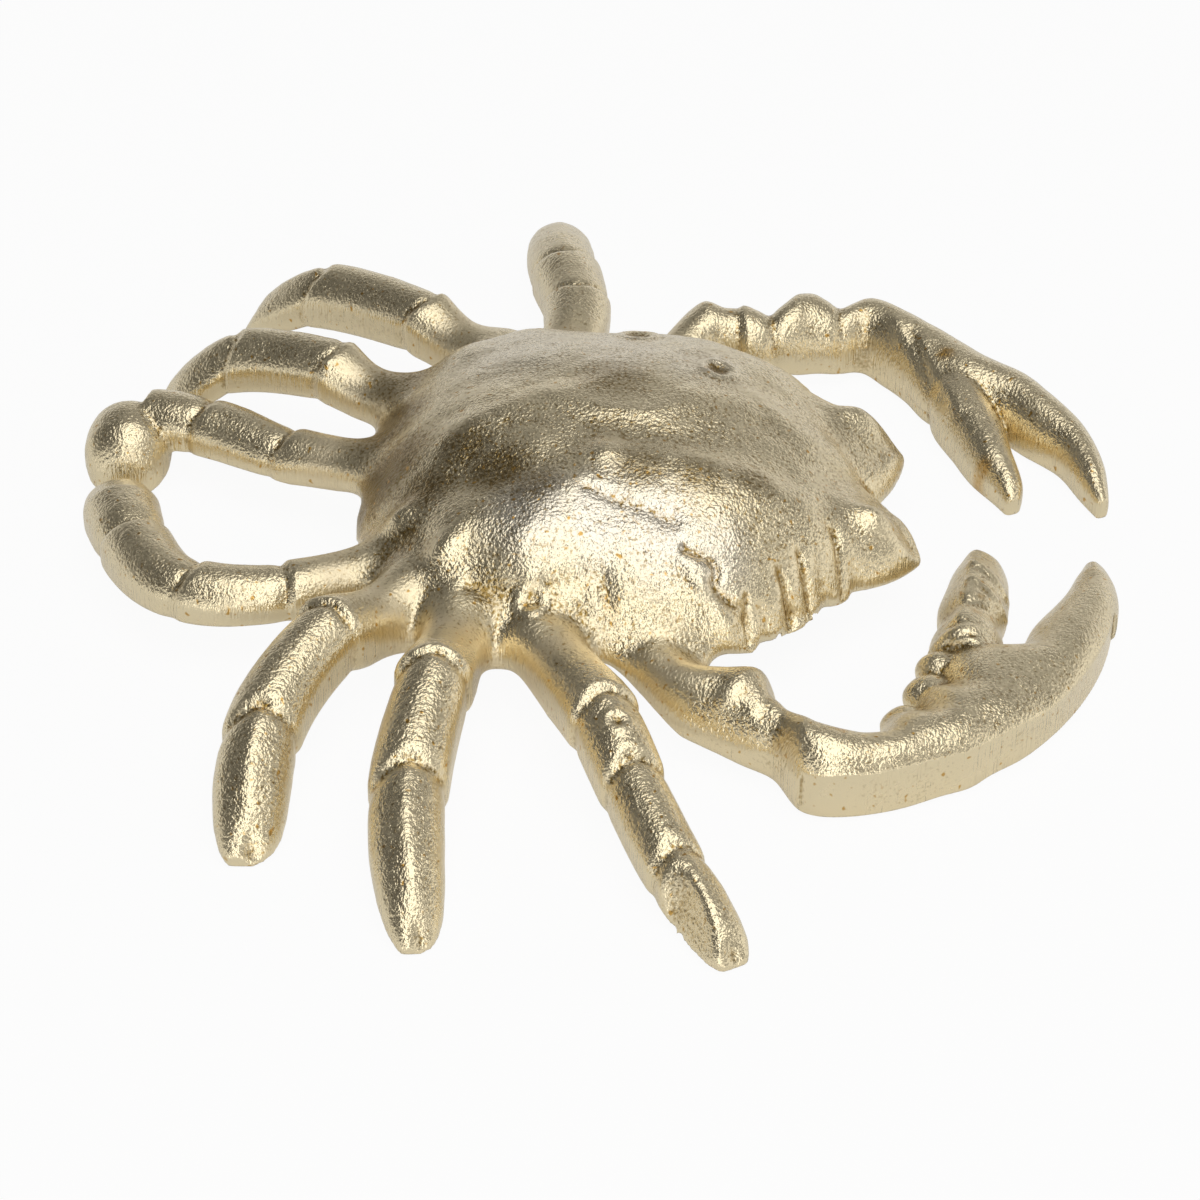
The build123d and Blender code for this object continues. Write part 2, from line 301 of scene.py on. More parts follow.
def section(crest: np.ndarray, inner: np.ndarray, outer: np.ndarray,
            soft: float) -> tuple[np.ndarray, np.ndarray]:
    """Unit sections of a limb: a flat foot, upright sides and an arched back.

    Args:
        crest: Where the top of each section lies, from -1 at one side to 1 at the other.
        inner: Height of each section's straight side at -1, as a share.
        outer: The same at 1.
        soft: How softly the back meets the sides, 0.5 for an ellipse and 1 for a crisp edge.

    Returns:
        Place across (-1 to 1) and height (0 to 1), one row to a section.
    """
    turn = np.linspace(0, 2 * math.pi, AROUND + 1)[None, :]
    cosine, sine = np.cos(turn), np.sin(turn)
    upper = sine >= -NEAR_ZERO
    across = np.where(upper, cosine, np.sign(cosine) * np.abs(cosine) ** FOOT_CORNER)
    crest = crest[:, None]
    beyond = across > crest
    lean = np.clip(np.abs(across - crest) / np.where(beyond, 1 - crest, 1 + crest), 0, 1)
    side = np.where(beyond, outer[:, None], inner[:, None])
    back = side + (1 - side) * (1 - lean ** 2) ** soft
    foot = side * (1 - np.abs(sine) ** FOOT_CORNER)
    return np.broadcast_to(across, back.shape).copy(), np.where(upper, back, foot)


@dataclass(frozen=True)
class Root:
    """Where a limb is welded on: its middle, its level direction and half its width.

    The box of its saw cuts reaches past its sides by the margin, and lies about the level.
    """

    name: str
    middle: Point
    way: Point
    half_width: float
    margin: float = 2.3
    height: float = 60.0
    level: float = 12.0

    def ahead(self, shift: float) -> np.ndarray:
        """The point of the limb's line that lies this far past the weld's middle."""
        return np.array(self.middle) + np.array(self.way) * shift

    def box(self) -> Matrix:
        """Encloses the weld.

        Returns:
            The matrix that turns a unit cube into its box.
        """
        way = Vector((*self.way, 0))
        side = Vector((-way.y, way.x, 0))
        turn = Matrix((way, side, Vector((0, 0, 1)))).transposed().to_4x4()
        wide = 2 * (self.half_width + self.margin)
        size = Matrix.Diagonal((WELD * MM, wide * MM, self.height * MM, 1))
        return Matrix.Translation(Vector((*self.middle, self.level)) * MM) @ turn @ size


@dataclass(frozen=True)
class Stub:
    """The hidden end of a limb, which flares where it runs into the body.

    At its far end it is wider by a share of the limb's width, taller by a lift at the top, and
    thinner by a tuck at the bottom.
    """

    widen: float
    lift: float
    tuck: float = 8.0
    length: float = 15.0
    rows: int = 16
    power: float = 1.3

    def back(self) -> np.ndarray:
        """Places of the stub's sections along its limb, which starts at 0."""
        return -np.linspace(self.length, STEP, self.rows)

    def flare(self) -> np.ndarray:
        """How far each of its sections has opened, from 0 to 1."""
        return (np.clip(-self.back() - WELD / 2, 0, None) / self.length) ** self.power

    def crown(self, top: np.ndarray, at: np.ndarray) -> np.ndarray:
        """Raises the top of the stub, but keeps it buried in the body.

        Args:
            top: Height of each section's top before.
            at: Where the sections are in plan.

        Returns:
            The new heights.
        """
        return np.minimum(top + self.lift * self.flare(), SHELL.ceiling(at))


@dataclass(frozen=True)
class Facet:
    """A flat left by a file along one flank: from and to as shares of the length."""

    start: float
    end: float
    flank: float
    offset: float
    slope: float = 1.3
    fade: float = 14.0

    def cut(self, height: np.ndarray, across: np.ndarray, share: np.ndarray) -> np.ndarray:
        """Lowers what stands above the flat.

        Args:
            height: Heights of the leg's sections, 1 at the top.
            across: Places across them.
            share: Each section's place along the leg.

        Returns:
            The new heights.
        """
        inside = np.clip(np.minimum(share - self.start, self.end - share) * self.fade, 0, 1)
        flat = 1 - self.slope * (self.flank * across - self.offset)
        return np.where(inside > 0, np.minimum(height, 1 + (flat - 1) * inside), height)


@dataclass
class Leg:
    """A walking leg: lapping segments from its weld to its end.

    Each joint is x, y, width, top and bottom. Walls are heights of the straight sides, lean is
    where the top lies across, and a lap bends by the chevron and turns by the slant.
    """

    name: str
    joints: Rows
    ending: Ending = Ending.TIP
    chevron: float = 2.2
    slant: float = 0.0
    # A ridge along the last segment, by height, width across, and where it shows.
    ridge: float = 0.05
    ridge_width: float = 0.22
    ridge_fade: float = 8.0
    ridge_floor: float = 0.5
    ridge_full: float = 0.6
    # Flats and the shape of the section.
    facets: tuple[Facet, ...] = ()
    rooted: bool = True
    lean: float = 0.0
    wall: float = 0.34
    least_wall: float = 0.34
    arch: float = 0.42
    soft: float = 0.62
    # The groove behind each lap, and the spacing of the sections.
    groove: float = 0.085
    groove_width: float = 0.65
    groove_shift: float = 0.2
    least_sections: int = 8
    stub: Stub = Stub(widen=0.75, lift=3.5)

    def route(self) -> tuple[np.ndarray, np.ndarray, np.ndarray]:
        """Works out the leg's centre line.

        Returns:
            The joints' lengths along the leg, the places of its sections, and x, y, width, top and
            bottom at each.
        """
        table = np.array(self.joints, float)
        knots = lengths_along(table[:, :2])
        at = np.linspace(0, knots[-1], max(self.least_sections, round(knots[-1] / STEP)))
        middle = spline(knots, table[:, :2], at)
        rest = np.stack([np.interp(at, knots, table[:, k]) for k in (2, 3, 4)], 1)
        return knots, at, np.concatenate((middle, rest), 1)

    def root(self) -> Root:
        """Finds where the leg is welded on.

        Returns:
            Its root, along its first step.
        """
        row = self.route()[2]
        way = row[1, :2] - row[0, :2]
        way = way / np.linalg.norm(way)
        return Root(self.name, tuple(row[0, :2]), tuple(way), row[0, 2] / 2)

    def fullness(self, along: np.ndarray, knots: np.ndarray) -> np.ndarray:
        """Works out how each segment swells and laps over the next.

        Args:
            along: Places along the leg.
            knots: The joints' lengths along it.

        Returns:
            The share of the leg's width and height at each place.
        """
        last = len(knots) - 2
        segment = np.clip(np.searchsorted(knots, along, side="right") - 1, 0, last)
        share = np.clip((along - knots[segment]) / (knots[segment + 1] - knots[segment]), 0, 1)
        full = np.ones_like(along)
        for k in range(last + 1):
            table = self.ending.value if k == last else LAP if k else FIRST_LAP
            here = segment == k
            full[here] = np.interp(share[here], *np.array(table).T)
        return full

    def with_stub(self, at: np.ndarray, row: np.ndarray,
                  way: np.ndarray) -> tuple[np.ndarray, np.ndarray, np.ndarray]:
        """Puts the sections of the stub before the leg's own.

        Args:
            at: Places of the sections.
            row: Their x, y, width, top and bottom.
            way: Their level directions.

        Returns:
            The same three with the stub.
        """
        back, flare = self.stub.back(), self.stub.flare()
        first = np.repeat(row[:1], len(back), 0)
        first[:, :2] += back[:, None] * way[:1]
        first[:, 2] *= 1 + self.stub.widen * flare
        first[:, 3] = self.stub.crown(first[:, 3], first[:, :2])
        first[:, 4] += self.stub.tuck * flare
        ways = np.repeat(way[:1], len(back), 0)
        return (np.concatenate((back, at)), np.concatenate((first, row)),
                np.concatenate((ways, way)))

    def mesh(self) -> bpy.types.Mesh:
        """Builds the leg.

        Returns:
            A closed mesh.
        """
        knots, at, row = self.route()
        way = np.gradient(row[:, :2], axis=0)
        way /= np.linalg.norm(way, axis=1)[:, None]
        if self.rooted:
            at, row, way = self.with_stub(at, row, way)
        side = np.stack((way[:, 1], -way[:, 0]), 1)
        width, top, bottom = row[:, 2:].T
        tall = top - bottom
        wall = np.maximum(self.least_wall, 1 - self.arch * width / tall)
        crest = np.full(len(at), self.lean)
        across, height = section(crest, np.maximum(wall, self.wall), wall, self.soft)
        bend = self.chevron * (np.abs(across) - CHEVRON_MIDDLE)
        along = at[:, None] - bend - self.slant * across
        full = self.fullness(np.clip(along, 0, knots[-1]), knots)
        for knot in knots[1:-1]:
            away = (along - knot - self.groove_shift) / self.groove_width
            full -= self.groove * np.exp(-away ** 2)
        across = across * full
        share = np.clip(at / knots[-1], 0, 1)[:, None]
        on_tip = np.clip((share - knots[-2] / knots[-1]) * self.ridge_fade, 0, 1)
        ridge = self.ridge * np.exp(-(across / self.ridge_width) ** 2) * on_tip
        ridge *= (height > self.ridge_floor) * (full > self.ridge_full)
        height = height * full + ridge
        for facet in self.facets:
            height = facet.cut(height, across, share)
        places = np.empty(across.shape + (3,))
        out = (across * width[:, None] / 2)[..., None]
        places[..., :2] = row[:, None, :2] + side[:, None, :] * out
        places[..., 2] = bottom[:, None] + height * tall[:, None]
        return wrap(self.name, places)


@dataclass
class Claw:
    """A claw arm with its palm and one finger, or the other finger, from its two edges.

    Each row is inner x, inner y, outer x, outer y, top and bottom. Crests are pairs of row and
    place across of the highest line, from -1 at the inner edge to 1 at the outer one. Walls are
    pairs of row and least height of the outer side.
    """

    name: str
    rows: Rows
    crests: Rows = ((0, 0.0),)
    walls: Rows = ((0, 0.34),)
    rooted: bool = True
    least_wall: float = 0.22
    arch: float = 0.49
    soft: float = 0.8
    edge_points: int = 5
    weld_margin: float = 2.7
    stub: Stub = Stub(widen=1.0, lift=3.0)

    def outer_edge(self, first: int, last: int, inset: float) -> np.ndarray:
        """Follows the outer edge of the claw.

        Args:
            first: Row to start at.
            last: Row to end at.
            inset: How far the line lies inside the edge.

        Returns:
            Points of the line.
        """
        table = np.array(self.rows, float)
        across = table[:, 0:2] - table[:, 2:4]
        edge = table[:, 2:4] + across / np.linalg.norm(across, axis=1)[:, None] * inset
        at = np.linspace(first, last, (last - first) * self.edge_points + 1)
        return spline(np.arange(len(edge), dtype=float), edge, at)

    def root(self) -> Root:
        """Finds where the claw is welded on.

        Returns:
            Its root, square to its first row.
        """
        table = np.array(self.rows[:2])
        middle = (table[:, 2:4] + table[:, 0:2]) / 2
        half = (table[0, 2:4] - table[0, 0:2]) / 2
        reach = float(np.linalg.norm(half))
        way = np.array((-half[1], half[0])) / reach
        if way @ (middle[1] - middle[0]) < 0:
            way = -way
        return Root(self.name, tuple(middle[0]), tuple(way), reach + self.weld_margin)

    def with_stub(self, edges: np.ndarray) -> np.ndarray:
        """Puts the sections of the stub before the claw's own.

        Args:
            edges: The claw's sections, in the order of its table.

        Returns:
            The sections with the stub.
        """
        half = (edges[0, 2:4] - edges[0, 0:2]) / 2
        back, flare = self.stub.back()[:, None], self.stub.flare()
        first = np.repeat(edges[:1], len(flare), 0)
        wide = half * (self.stub.widen * flare)[:, None]
        away = back * np.array(self.root().way)
        first[:, 0:2] += away - wide
        first[:, 2:4] += away + wide
        first[:, 4] = self.stub.crown(first[:, 4], (first[:, 0:2] + first[:, 2:4]) / 2)
        first[:, 5] += self.stub.tuck * flare
        return np.concatenate((first, edges))

    def mesh(self) -> bpy.types.Mesh:
        """Builds the claw.

        Returns:
            A closed mesh.
        """
        table = np.array(self.rows, float)
        knots = lengths_along((table[:, 0:2] + table[:, 2:4]) / 2)
        at = np.linspace(0, knots[-1], round(knots[-1] / STEP))
        heights = np.stack([np.interp(at, knots, table[:, k]) for k in (4, 5)], 1)
        edges = np.concatenate((spline(knots, table[:, :4], at), heights), 1)
        index = np.interp(at, knots, np.arange(len(knots)))
        if self.rooted:
            edges = self.with_stub(edges)
            index = np.concatenate((np.zeros(len(edges) - len(index)), index))
        inner, outer, bottom = edges[:, 0:2], edges[:, 2:4], edges[:, 5]
        width = np.linalg.norm(outer - inner, axis=1)
        tall = edges[:, 4] - bottom
        wall = np.maximum(self.least_wall, 1 - self.arch * width / tall)
        outer_wall = np.maximum(wall, np.interp(index, *np.array(self.walls).T))
        crest = np.interp(index, *np.array(self.crests).T)
        across, height = section(crest, wall, outer_wall, self.soft)
        centre, half = (inner + outer) / 2, (outer - inner) / 2
        places = np.empty(across.shape + (3,))
        places[..., :2] = centre[:, None, :] + half[:, None, :] * across[..., None]
        places[..., 2] = bottom[:, None] + height * tall[:, None]
        return wrap(self.name, places)


@dataclass
class Shell:
    """The hollow body: a lobed dome over a toothed outline, with two horns in front.

    Points of the outline are shares of half the width and of the length. A swelling is such a
    point with a share of the lobe's radius and one of its height.
    """

    # Main sizes, with the height of the dome, of its rim and of its foot.
    width: float = 100.0
    length: float = 107.0
    top: float = 34.0
    rim: float = 13.0
    foot: float = 9.5
    wall: float = 4.5
    lip: float = 1.2
    # How its edge is rounded, less so near the horns, which also drop at their tips.
    rounding: float = 3.6
    horn_rounding: float = 0.3
    horn_zone: float = 9.0
    beak: float = 5.0
    beak_drop: float = 0.8
    # Where its frame and its middle lie.
    shift: Point = (-0.963, -3.831)
    middle: Point = (0.0, -2.0)
    # The outline, from the notch between the horns to the rear.
    tooth: float = 1.8
    tooth_points: int = 12
    outline_points: int = 361
    notch: Point = (0.0, -0.460)
    brow: Point = (0.16, -0.507)
    horn: Point = (0.36, -0.535)
    horn_side: Point = (0.49, -0.475)
    teeth: Rows = ((0.55, -0.402), (0.65, -0.347), (0.755, -0.287), (0.875, -0.234), (0.98, -0.172))
    sides: Rows = (
        (1.02, -0.03), (0.985, 0.16), (0.92, 0.31), (0.73, 0.41), (0.42, 0.457), (0.0, 0.463))
    swellings: Rows = (
        (0.0, -0.04, 2.1, 1.0), (0.44, -0.20, 1.7, 0.8), (0.46, 0.12, 1.7, 0.7),
        (0.0, 0.25, 1.4, 0.7), (0.66, 0.30, 0.8, 1.2), (0.80, 0.17, 0.8, 1.0),
        (0.50, -0.34, 0.9, 0.7), (0.34, -0.47, 0.8, 1.2), (0.37, -0.445, 0.44, 1.1),
        (0.375, -0.480, 0.42, 0.9), (0.375, -0.505, 0.36, 0.3))
    # The dome.
    lobe_height: float = 2.4
    lobe_radius: float = 9.5
    bluntness: float = 0.20
    across_fullness: float = 0.55
    front_fullness: float = 0.35
    rear_fullness: float = 0.55
    front_reach: float = 0.47
    rear_power: float = 2.6
    narrow_from: float = 0.20
    narrowing: float = 0.57
    # How deep a stub stays buried in the dome, inside an oval.
    buried: float = 2.4
    burial_oval: Point = (51.0, 48.0)
    burial_edge: float = 0.98
    burial_slope: float = 400.0
    # The hollow.
    hollow_share: float = 0.97
    hollow_ends: float = 1.5
    hollow_power: int = 5
    least_room: float = 1.0
    # Rows of points from the top of the hollow, round its foot and back over the dome.
    hollow_rows: int = 24
    hollow_wall_rows: tuple[float, ...] = (0.35, 0.7, 1.0)
    foot_rows: tuple[float, ...] = (0.3, 0.6, 0.85)
    lip_rows: tuple[float, ...] = (0.0, 0.5, 1.0)
    back_rows: int = 74
    back_start: float = 0.003
    back_crowding: float = 1.25

    def point(self, share: Point) -> Point:
        """A place from a share of half the width and a share of the length."""
        return share[0] * self.width / 2, share[1] * self.length

    def oval(self, at: np.ndarray, half: Point) -> np.ndarray:
        """Compares places in the part's frame with an oval around the shell's middle.

        Args:
            at: The places.
            half: Half the width and half the length of the oval.

        Returns:
            How far out each lies, 1 on the oval.
        """
        x, y = (at[:, :2] - self.shift).T
        return np.hypot(x / half[0], (y - self.middle[1]) / half[1])

    def outline(self) -> np.ndarray:
        """Draws the outline seen from above.

        Returns:
            Its points, once around, in the shell's own frame.
        """
        p = self.point
        parts = [arc(p(self.notch), p(self.brow), p(self.horn)),
                 arc(p(self.horn), p(self.horn_side), p(self.teeth[0]))]
        for first, second in zip(self.teeth, self.teeth[1:]):
            a, b = np.array(p(first)), np.array(p(second))
            chord = b - a
            bulge = np.array((chord[1], -chord[0])) / np.linalg.norm(chord) * self.tooth
            parts.append(arc(tuple(a), tuple((a + b) / 2 + bulge), tuple(b), self.tooth_points))
        side = [p(self.teeth[-1])] + [p(s) for s in self.sides]
        for k in range(0, len(side) - 1, 2):
            parts.append(arc(side[k], side[k + 1], side[k + 2]))
        half = np.concatenate(parts + [np.array([side[-1]])])
        loop = np.concatenate((half, half[::-1][1:] * (-1, 1)))
        length = lengths_along(loop)
        at = np.linspace(0, length[-1], self.outline_points)
        return np.stack([np.interp(at, length, loop[:, k]) for k in (0, 1)], 1)

    def still_up(self, share: np.ndarray, full: float) -> np.ndarray:
        """Follows one line of the dome from its top to its edge.

        Args:
            share: Shares of the way to the edge.
            full: How long the line stays high, from 0 to 1.

        Returns:
            How much of the rise is left.
        """
        left = 1 - (1 - full) * share ** 2 - full * share ** 6
        blunt = self.bluntness
        return (left + np.hypot(left, blunt)) / (1 + math.hypot(1, blunt))

    def rise(self, x: np.ndarray, y: np.ndarray) -> np.ndarray:
        """Works out the shell's back.

        Args:
            x: Places across, in the shell's own frame.
            y: Places along it.

        Returns:
            The height of the back at each place.
        """
        across = np.abs(x) / (self.width / 2)
        ahead = y / (self.horn[1] * self.length)
        narrow = np.clip((ahead - self.narrow_from) / (1 - self.narrow_from), 0, 1)
        width = 1 - self.narrowing * (3 - 2 * narrow) * narrow ** 2
        front = (self.still_up(across / width, self.across_fullness)
                 * self.still_up(-y / (self.front_reach * self.length), self.front_fullness))
        behind = np.clip(y, 0, None) / (self.sides[-1][1] * self.length)
        out = (across ** self.rear_power + behind ** self.rear_power) ** (1 / self.rear_power)
        dome = np.where(y < 0, front, self.still_up(out, self.rear_fullness))
        height = self.rim + (self.top - self.rim) * dome
        for share_x, share_y, radius, rise in self.swellings:
            for sign in ((-1, 1) if share_x else (1,)):
                middle = self.point((sign * share_x, share_y))
                away = np.hypot(x - middle[0], y - middle[1]) / (self.lobe_radius * radius)
                height = height + self.lobe_height * rise * np.exp(-away ** 2)
        tip = self.point(self.horn)
        near_tip = np.exp(-(np.hypot(np.abs(x) - tip[0], y - tip[1]) / self.beak) ** 2)
        return height - (height - self.foot - self.lip) * self.beak_drop * near_tip

    def ceiling(self, at: np.ndarray) -> np.ndarray:
        """How high a stub may reach at places in the part's frame, to stay buried in the back."""
        outside = np.clip(self.oval(at, self.burial_oval) - self.burial_edge, 0, None)
        return self.rise(*(at - self.shift).T) - self.buried + outside * self.burial_slope

    def hollow(self, angle: np.ndarray) -> np.ndarray:
        """Draws the hollow seen from above.

        Args:
            angle: Directions from its middle.

        Returns:
            The distance from the middle to the hollow's wall in each.
        """
        half_width = (self.width / 2 - self.wall) * self.hollow_share
        span = (self.sides[-1][1] - self.teeth[1][1]) * self.length
        half_length = span / 2 - self.hollow_ends * self.wall
        power = self.hollow_power
        return (np.abs(np.cos(angle) / half_width) ** power
                + np.abs(np.sin(angle) / half_length) ** power) ** (-1 / power)

    def in_hollow(self, at: np.ndarray, margin: float) -> np.ndarray:
        """Finds places inside the hollow.

        Args:
            at: Places in the part's frame.
            margin: How far from the hollow's wall they stay.

        Returns:
            Which places are inside.
        """
        x, y = (at[:, :2] - self.shift - self.middle).T
        return np.hypot(x, y) < self.hollow(np.arctan2(y, x)) - margin

    def mesh(self) -> bpy.types.Mesh:
        """Builds the shell with its hollow underneath.

        Returns:
            A closed mesh of one wall.
        """
        loop = self.outline()
        centre = np.array(self.middle)
        angle = np.arctan2(loop[:, 1] - centre[1], loop[:, 0] - centre[0])
        hollow = self.hollow(angle)[:, None] * np.stack((np.cos(angle), np.sin(angle)), 1)
        inside = centre + hollow
        rows: list[tuple[np.ndarray, np.ndarray | float]] = []
        for t in np.linspace(0, 1, self.hollow_rows):
            at = centre + (inside - centre) * t
            under = self.rise(*at.T) - self.wall
            rows.append((at, np.maximum(self.foot + self.least_room, under)))
        edge = rows[-1][1]
        rows += [(inside, edge * (1 - t) + self.foot * t) for t in self.hollow_wall_rows]
        rows += [(inside + (loop - inside) * t, self.foot) for t in self.foot_rows]
        rows += [(loop, self.foot + self.lip * t) for t in self.lip_rows]
        low = self.foot + self.lip
        reach = np.hypot(*(loop - centre).T)
        tips = [np.hypot(*(loop - self.point((sign * self.horn[0], self.horn[1]))).T)
                for sign in (-1, 1)]
        at_horn = np.exp(-(np.minimum(*tips) / self.horn_zone) ** 2)
        rounding = self.rounding * (1 - (1 - self.horn_rounding) * at_horn)
        for t in 1 - np.linspace(self.back_start, 1, self.back_rows) ** self.back_crowding:
            at = centre + (loop - centre) * t
            bevel = np.sqrt(1 - np.clip(1 - reach * (1 - t) / rounding, 0, 1) ** 2)
            rows.append((at, low + (self.rise(*at.T) - low) * bevel))
        places = np.stack([np.column_stack((at, np.broadcast_to(height, len(at))))
                           for at, height in rows])
        places[..., :2] += self.shift
        return wrap("shell", places)


@dataclass(frozen=True)
class Bead:
    """A lump or web that fills out the fused form, by its middle and its half sizes."""

    middle: Place
    size: Place
    around: int = 24
    rings: int = 16

    def mesh(self) -> bpy.types.Mesh:
        """Builds the lump.

        Returns:
            A closed mesh.
        """
        form = bmesh.new()
        half = Matrix.Diagonal((*(s * MM for s in self.size), 1))
        bmesh.ops.create_uvsphere(
            form, u_segments=self.around, v_segments=self.rings, radius=1.0,
            matrix=Matrix.Translation(Vector(self.middle) * MM) @ half)
        return finished(form, "bead")


@dataclass(frozen=True)
class Chase:
    """A line or spot worked into the surface from above.

    Height is positive for a raised form and negative for a groove; a ring keeps its middle. Only
    what lies above the floor is worked.
    """

    path: Rows
    radius: float
    height: float
    ring: float = 0.0
    floor: float = 4.0


@dataclass(frozen=True)
class Patch:
    """A round area with its own finish."""

    x: float
    y: float
    radius: float
    strength: float = 1.0
    start: float = 1.6
    fall: float = 1.2

    def cover(self, at: np.ndarray) -> np.ndarray:
        """How strongly the area covers each place."""
        away = np.hypot(at[:, 0] - self.x, at[:, 1] - self.y) / self.radius
        return self.strength * np.clip(self.start - self.fall * away, 0, 1)


class Clay:
    """The fused crab while it is smoothed, chased and hammered."""

    # Dents per millimetre and height of each layer of dents, from coarse to fine.
    DENTS = ((0.15, 0.24), (0.38, 0.09), (0.95, 0.05))
    PULL = 0.6  # How far one turn of smoothing draws a vertex.

    def __init__(self, mesh: bpy.types.Mesh) -> None:
        """Reads the mesh into arrays, in millimetres.

        Args:
            mesh: The mesh to work on, which store() and keep() write to.
        """
        self.mesh = mesh
        self.at = read(mesh.vertices, "co", 3) / MM
        pairs = np.empty(len(mesh.edges) * 2, np.int32)
        mesh.edges.foreach_get("vertices", pairs)
        self.pairs = pairs.reshape(-1, 2)
        self.degree = np.maximum(np.bincount(pairs, minlength=len(self.at)), 1)

    def blurred(self, values: np.ndarray) -> np.ndarray:
        """Blurs values over the mesh.

        Args:
            values: One value or row of values to a vertex.

        Returns:
            The mean of each vertex's neighbours.
        """
        a, b = self.pairs.T
        count = len(self.degree)
        columns = values.reshape(count, -1)
        mean = [
            (np.bincount(a, columns[b, k], count) + np.bincount(b, columns[a, k], count))
            / self.degree for k in range(columns.shape[1])
        ]
        return np.stack(mean, 1).reshape(values.shape)

    def smooth(self, amount: np.ndarray | float, turns: int) -> None:
        """Draws every vertex towards its neighbours.

        Args:
            amount: How far, from 0 to 1, for all or for each vertex.
            turns: How many times.
        """
        amount = np.broadcast_to(amount, self.degree.shape)[:, None] * self.PULL
        for _ in range(turns):
            self.at += (self.blurred(self.at) - self.at) * amount

    def store(self) -> None:
        """Writes the places back to the mesh."""
        self.mesh.vertices.foreach_set("co", (self.at * MM).astype(np.float32).ravel())
        self.mesh.update()

    def normals(self) -> np.ndarray:
        """The surface directions."""
        self.store()
        return read(self.mesh.vertex_normals, "vector", 3)

    def near(self, path: Rows) -> np.ndarray:
        """Measures in plan to a line.

        Args:
            path: The points that it joins.

        Returns:
            The distance from each vertex.
        """
        points = np.array(path, float)
        plan = self.at[:, :2]
        best = np.hypot(*(plan - points[0]).T)
        for a, b in zip(points, points[1:]):
            way = b - a
            t = np.clip((plan - a) @ way / (way @ way), 0, 1)[:, None]
            best = np.minimum(best, np.hypot(*(plan - a - way * t).T))
        return best

    def chase(self, works: tuple[Chase, ...]) -> None:
        """Works every line and spot into the surfaces that face up.

        Args:
            works: The lines and spots.
        """
        normal = self.normals()
        facing = np.clip(normal[:, 2] * 2 + 0.5, 0, 1)
        move = np.zeros(len(self.at))
        for work in works:
            away = self.near(work.path)
            if work.ring:
                away = np.abs(away - work.ring)
            above = self.at[:, 2] > work.floor
            move += work.height * np.exp(-(away / work.radius) ** 2) * above
        self.at += normal * (move * facing)[:, None]

    def file(self, path: np.ndarray, reach: float) -> np.ndarray:
        """Files a wall along a line seen from above: what stands on the right of it comes off.

        Args:
            path: Points of the line.
            reach: How far outside the line the file still cuts.

        Returns:
            Which vertices were filed.
        """
        plan = self.at[:, :2]
        best = np.full(len(plan), reach)
        target = plan.copy()
        cut = np.zeros(len(plan), bool)
        for k, (a, b) in enumerate(zip(path, path[1:])):
            way = b - a
            t = (plan - a) @ way / (way @ way)
            foot = a + way * np.clip(t, 0, 1)[:, None]
            away = np.hypot(*(plan - foot).T)
            beyond = ((k == 0) & (t < 0)) | ((k == len(path) - 2) & (t > 1))
            nearer = away < best
            best = np.where(nearer, away, best)
            target[nearer] = foot[nearer]
            right = (plan - a) @ np.array((way[1], -way[0])) > 0
            cut[nearer] = (right & ~beyond)[nearer]
        self.at[cut, :2] = target[cut]
        return cut

    def hammer(self, amount: np.ndarray) -> None:
        """Roughens the surface as the sand of the mould left it.

        Args:
            amount: Share of the full roughness at each vertex.
        """
        normal = self.normals()
        rise = np.zeros(len(self.at))
        for scale, height in self.DENTS:
            rise += height * np.array([noise.noise(p) for p in (self.at * scale).tolist()])
        self.at += normal * (rise * amount)[:, None]

    def depth(self, turns: int) -> np.ndarray:
        """Measures how far each vertex lies below its surroundings.

        Args:
            turns: How wide the surroundings are, in rounds of neighbours.

        Returns:
            The depths, less than 0 on crests.
        """
        normal = self.normals()
        soft = self.at
        for _ in range(turns):
            soft = self.blurred(soft)
        return np.sum((soft - self.at) * normal, axis=1)

    def around(self, middles: list[np.ndarray], start: float, reach: float) -> np.ndarray:
        """Finds the vertices in round areas of one size.

        Args:
            middles: The middles of the areas in plan.
            start: Strength at each middle before it is held to 1.
            reach: Distance over which the strength falls by 1.

        Returns:
            How strongly each vertex lies in one of them.
        """
        away = [np.hypot(*(self.at[:, :2] - middle).T) for middle in middles]
        return np.clip(start - np.minimum.reduce(away) / reach, 0, 1)

    def spread(self, patches: tuple[Patch, ...]) -> np.ndarray:
        """How strongly each vertex lies in one of the round areas."""
        return np.maximum.reduce([patch.cover(self.at) for patch in patches])

    def keep(self, name: str, values: np.ndarray) -> None:
        """Stores numbers on the mesh, for the finish.

        Args:
            name: Name of the attribute.
            values: One number to a vertex.
        """
        layer = self.mesh.attributes.new(name, "FLOAT", "POINT")
        layer.data.foreach_set("value", values.astype(np.float32))


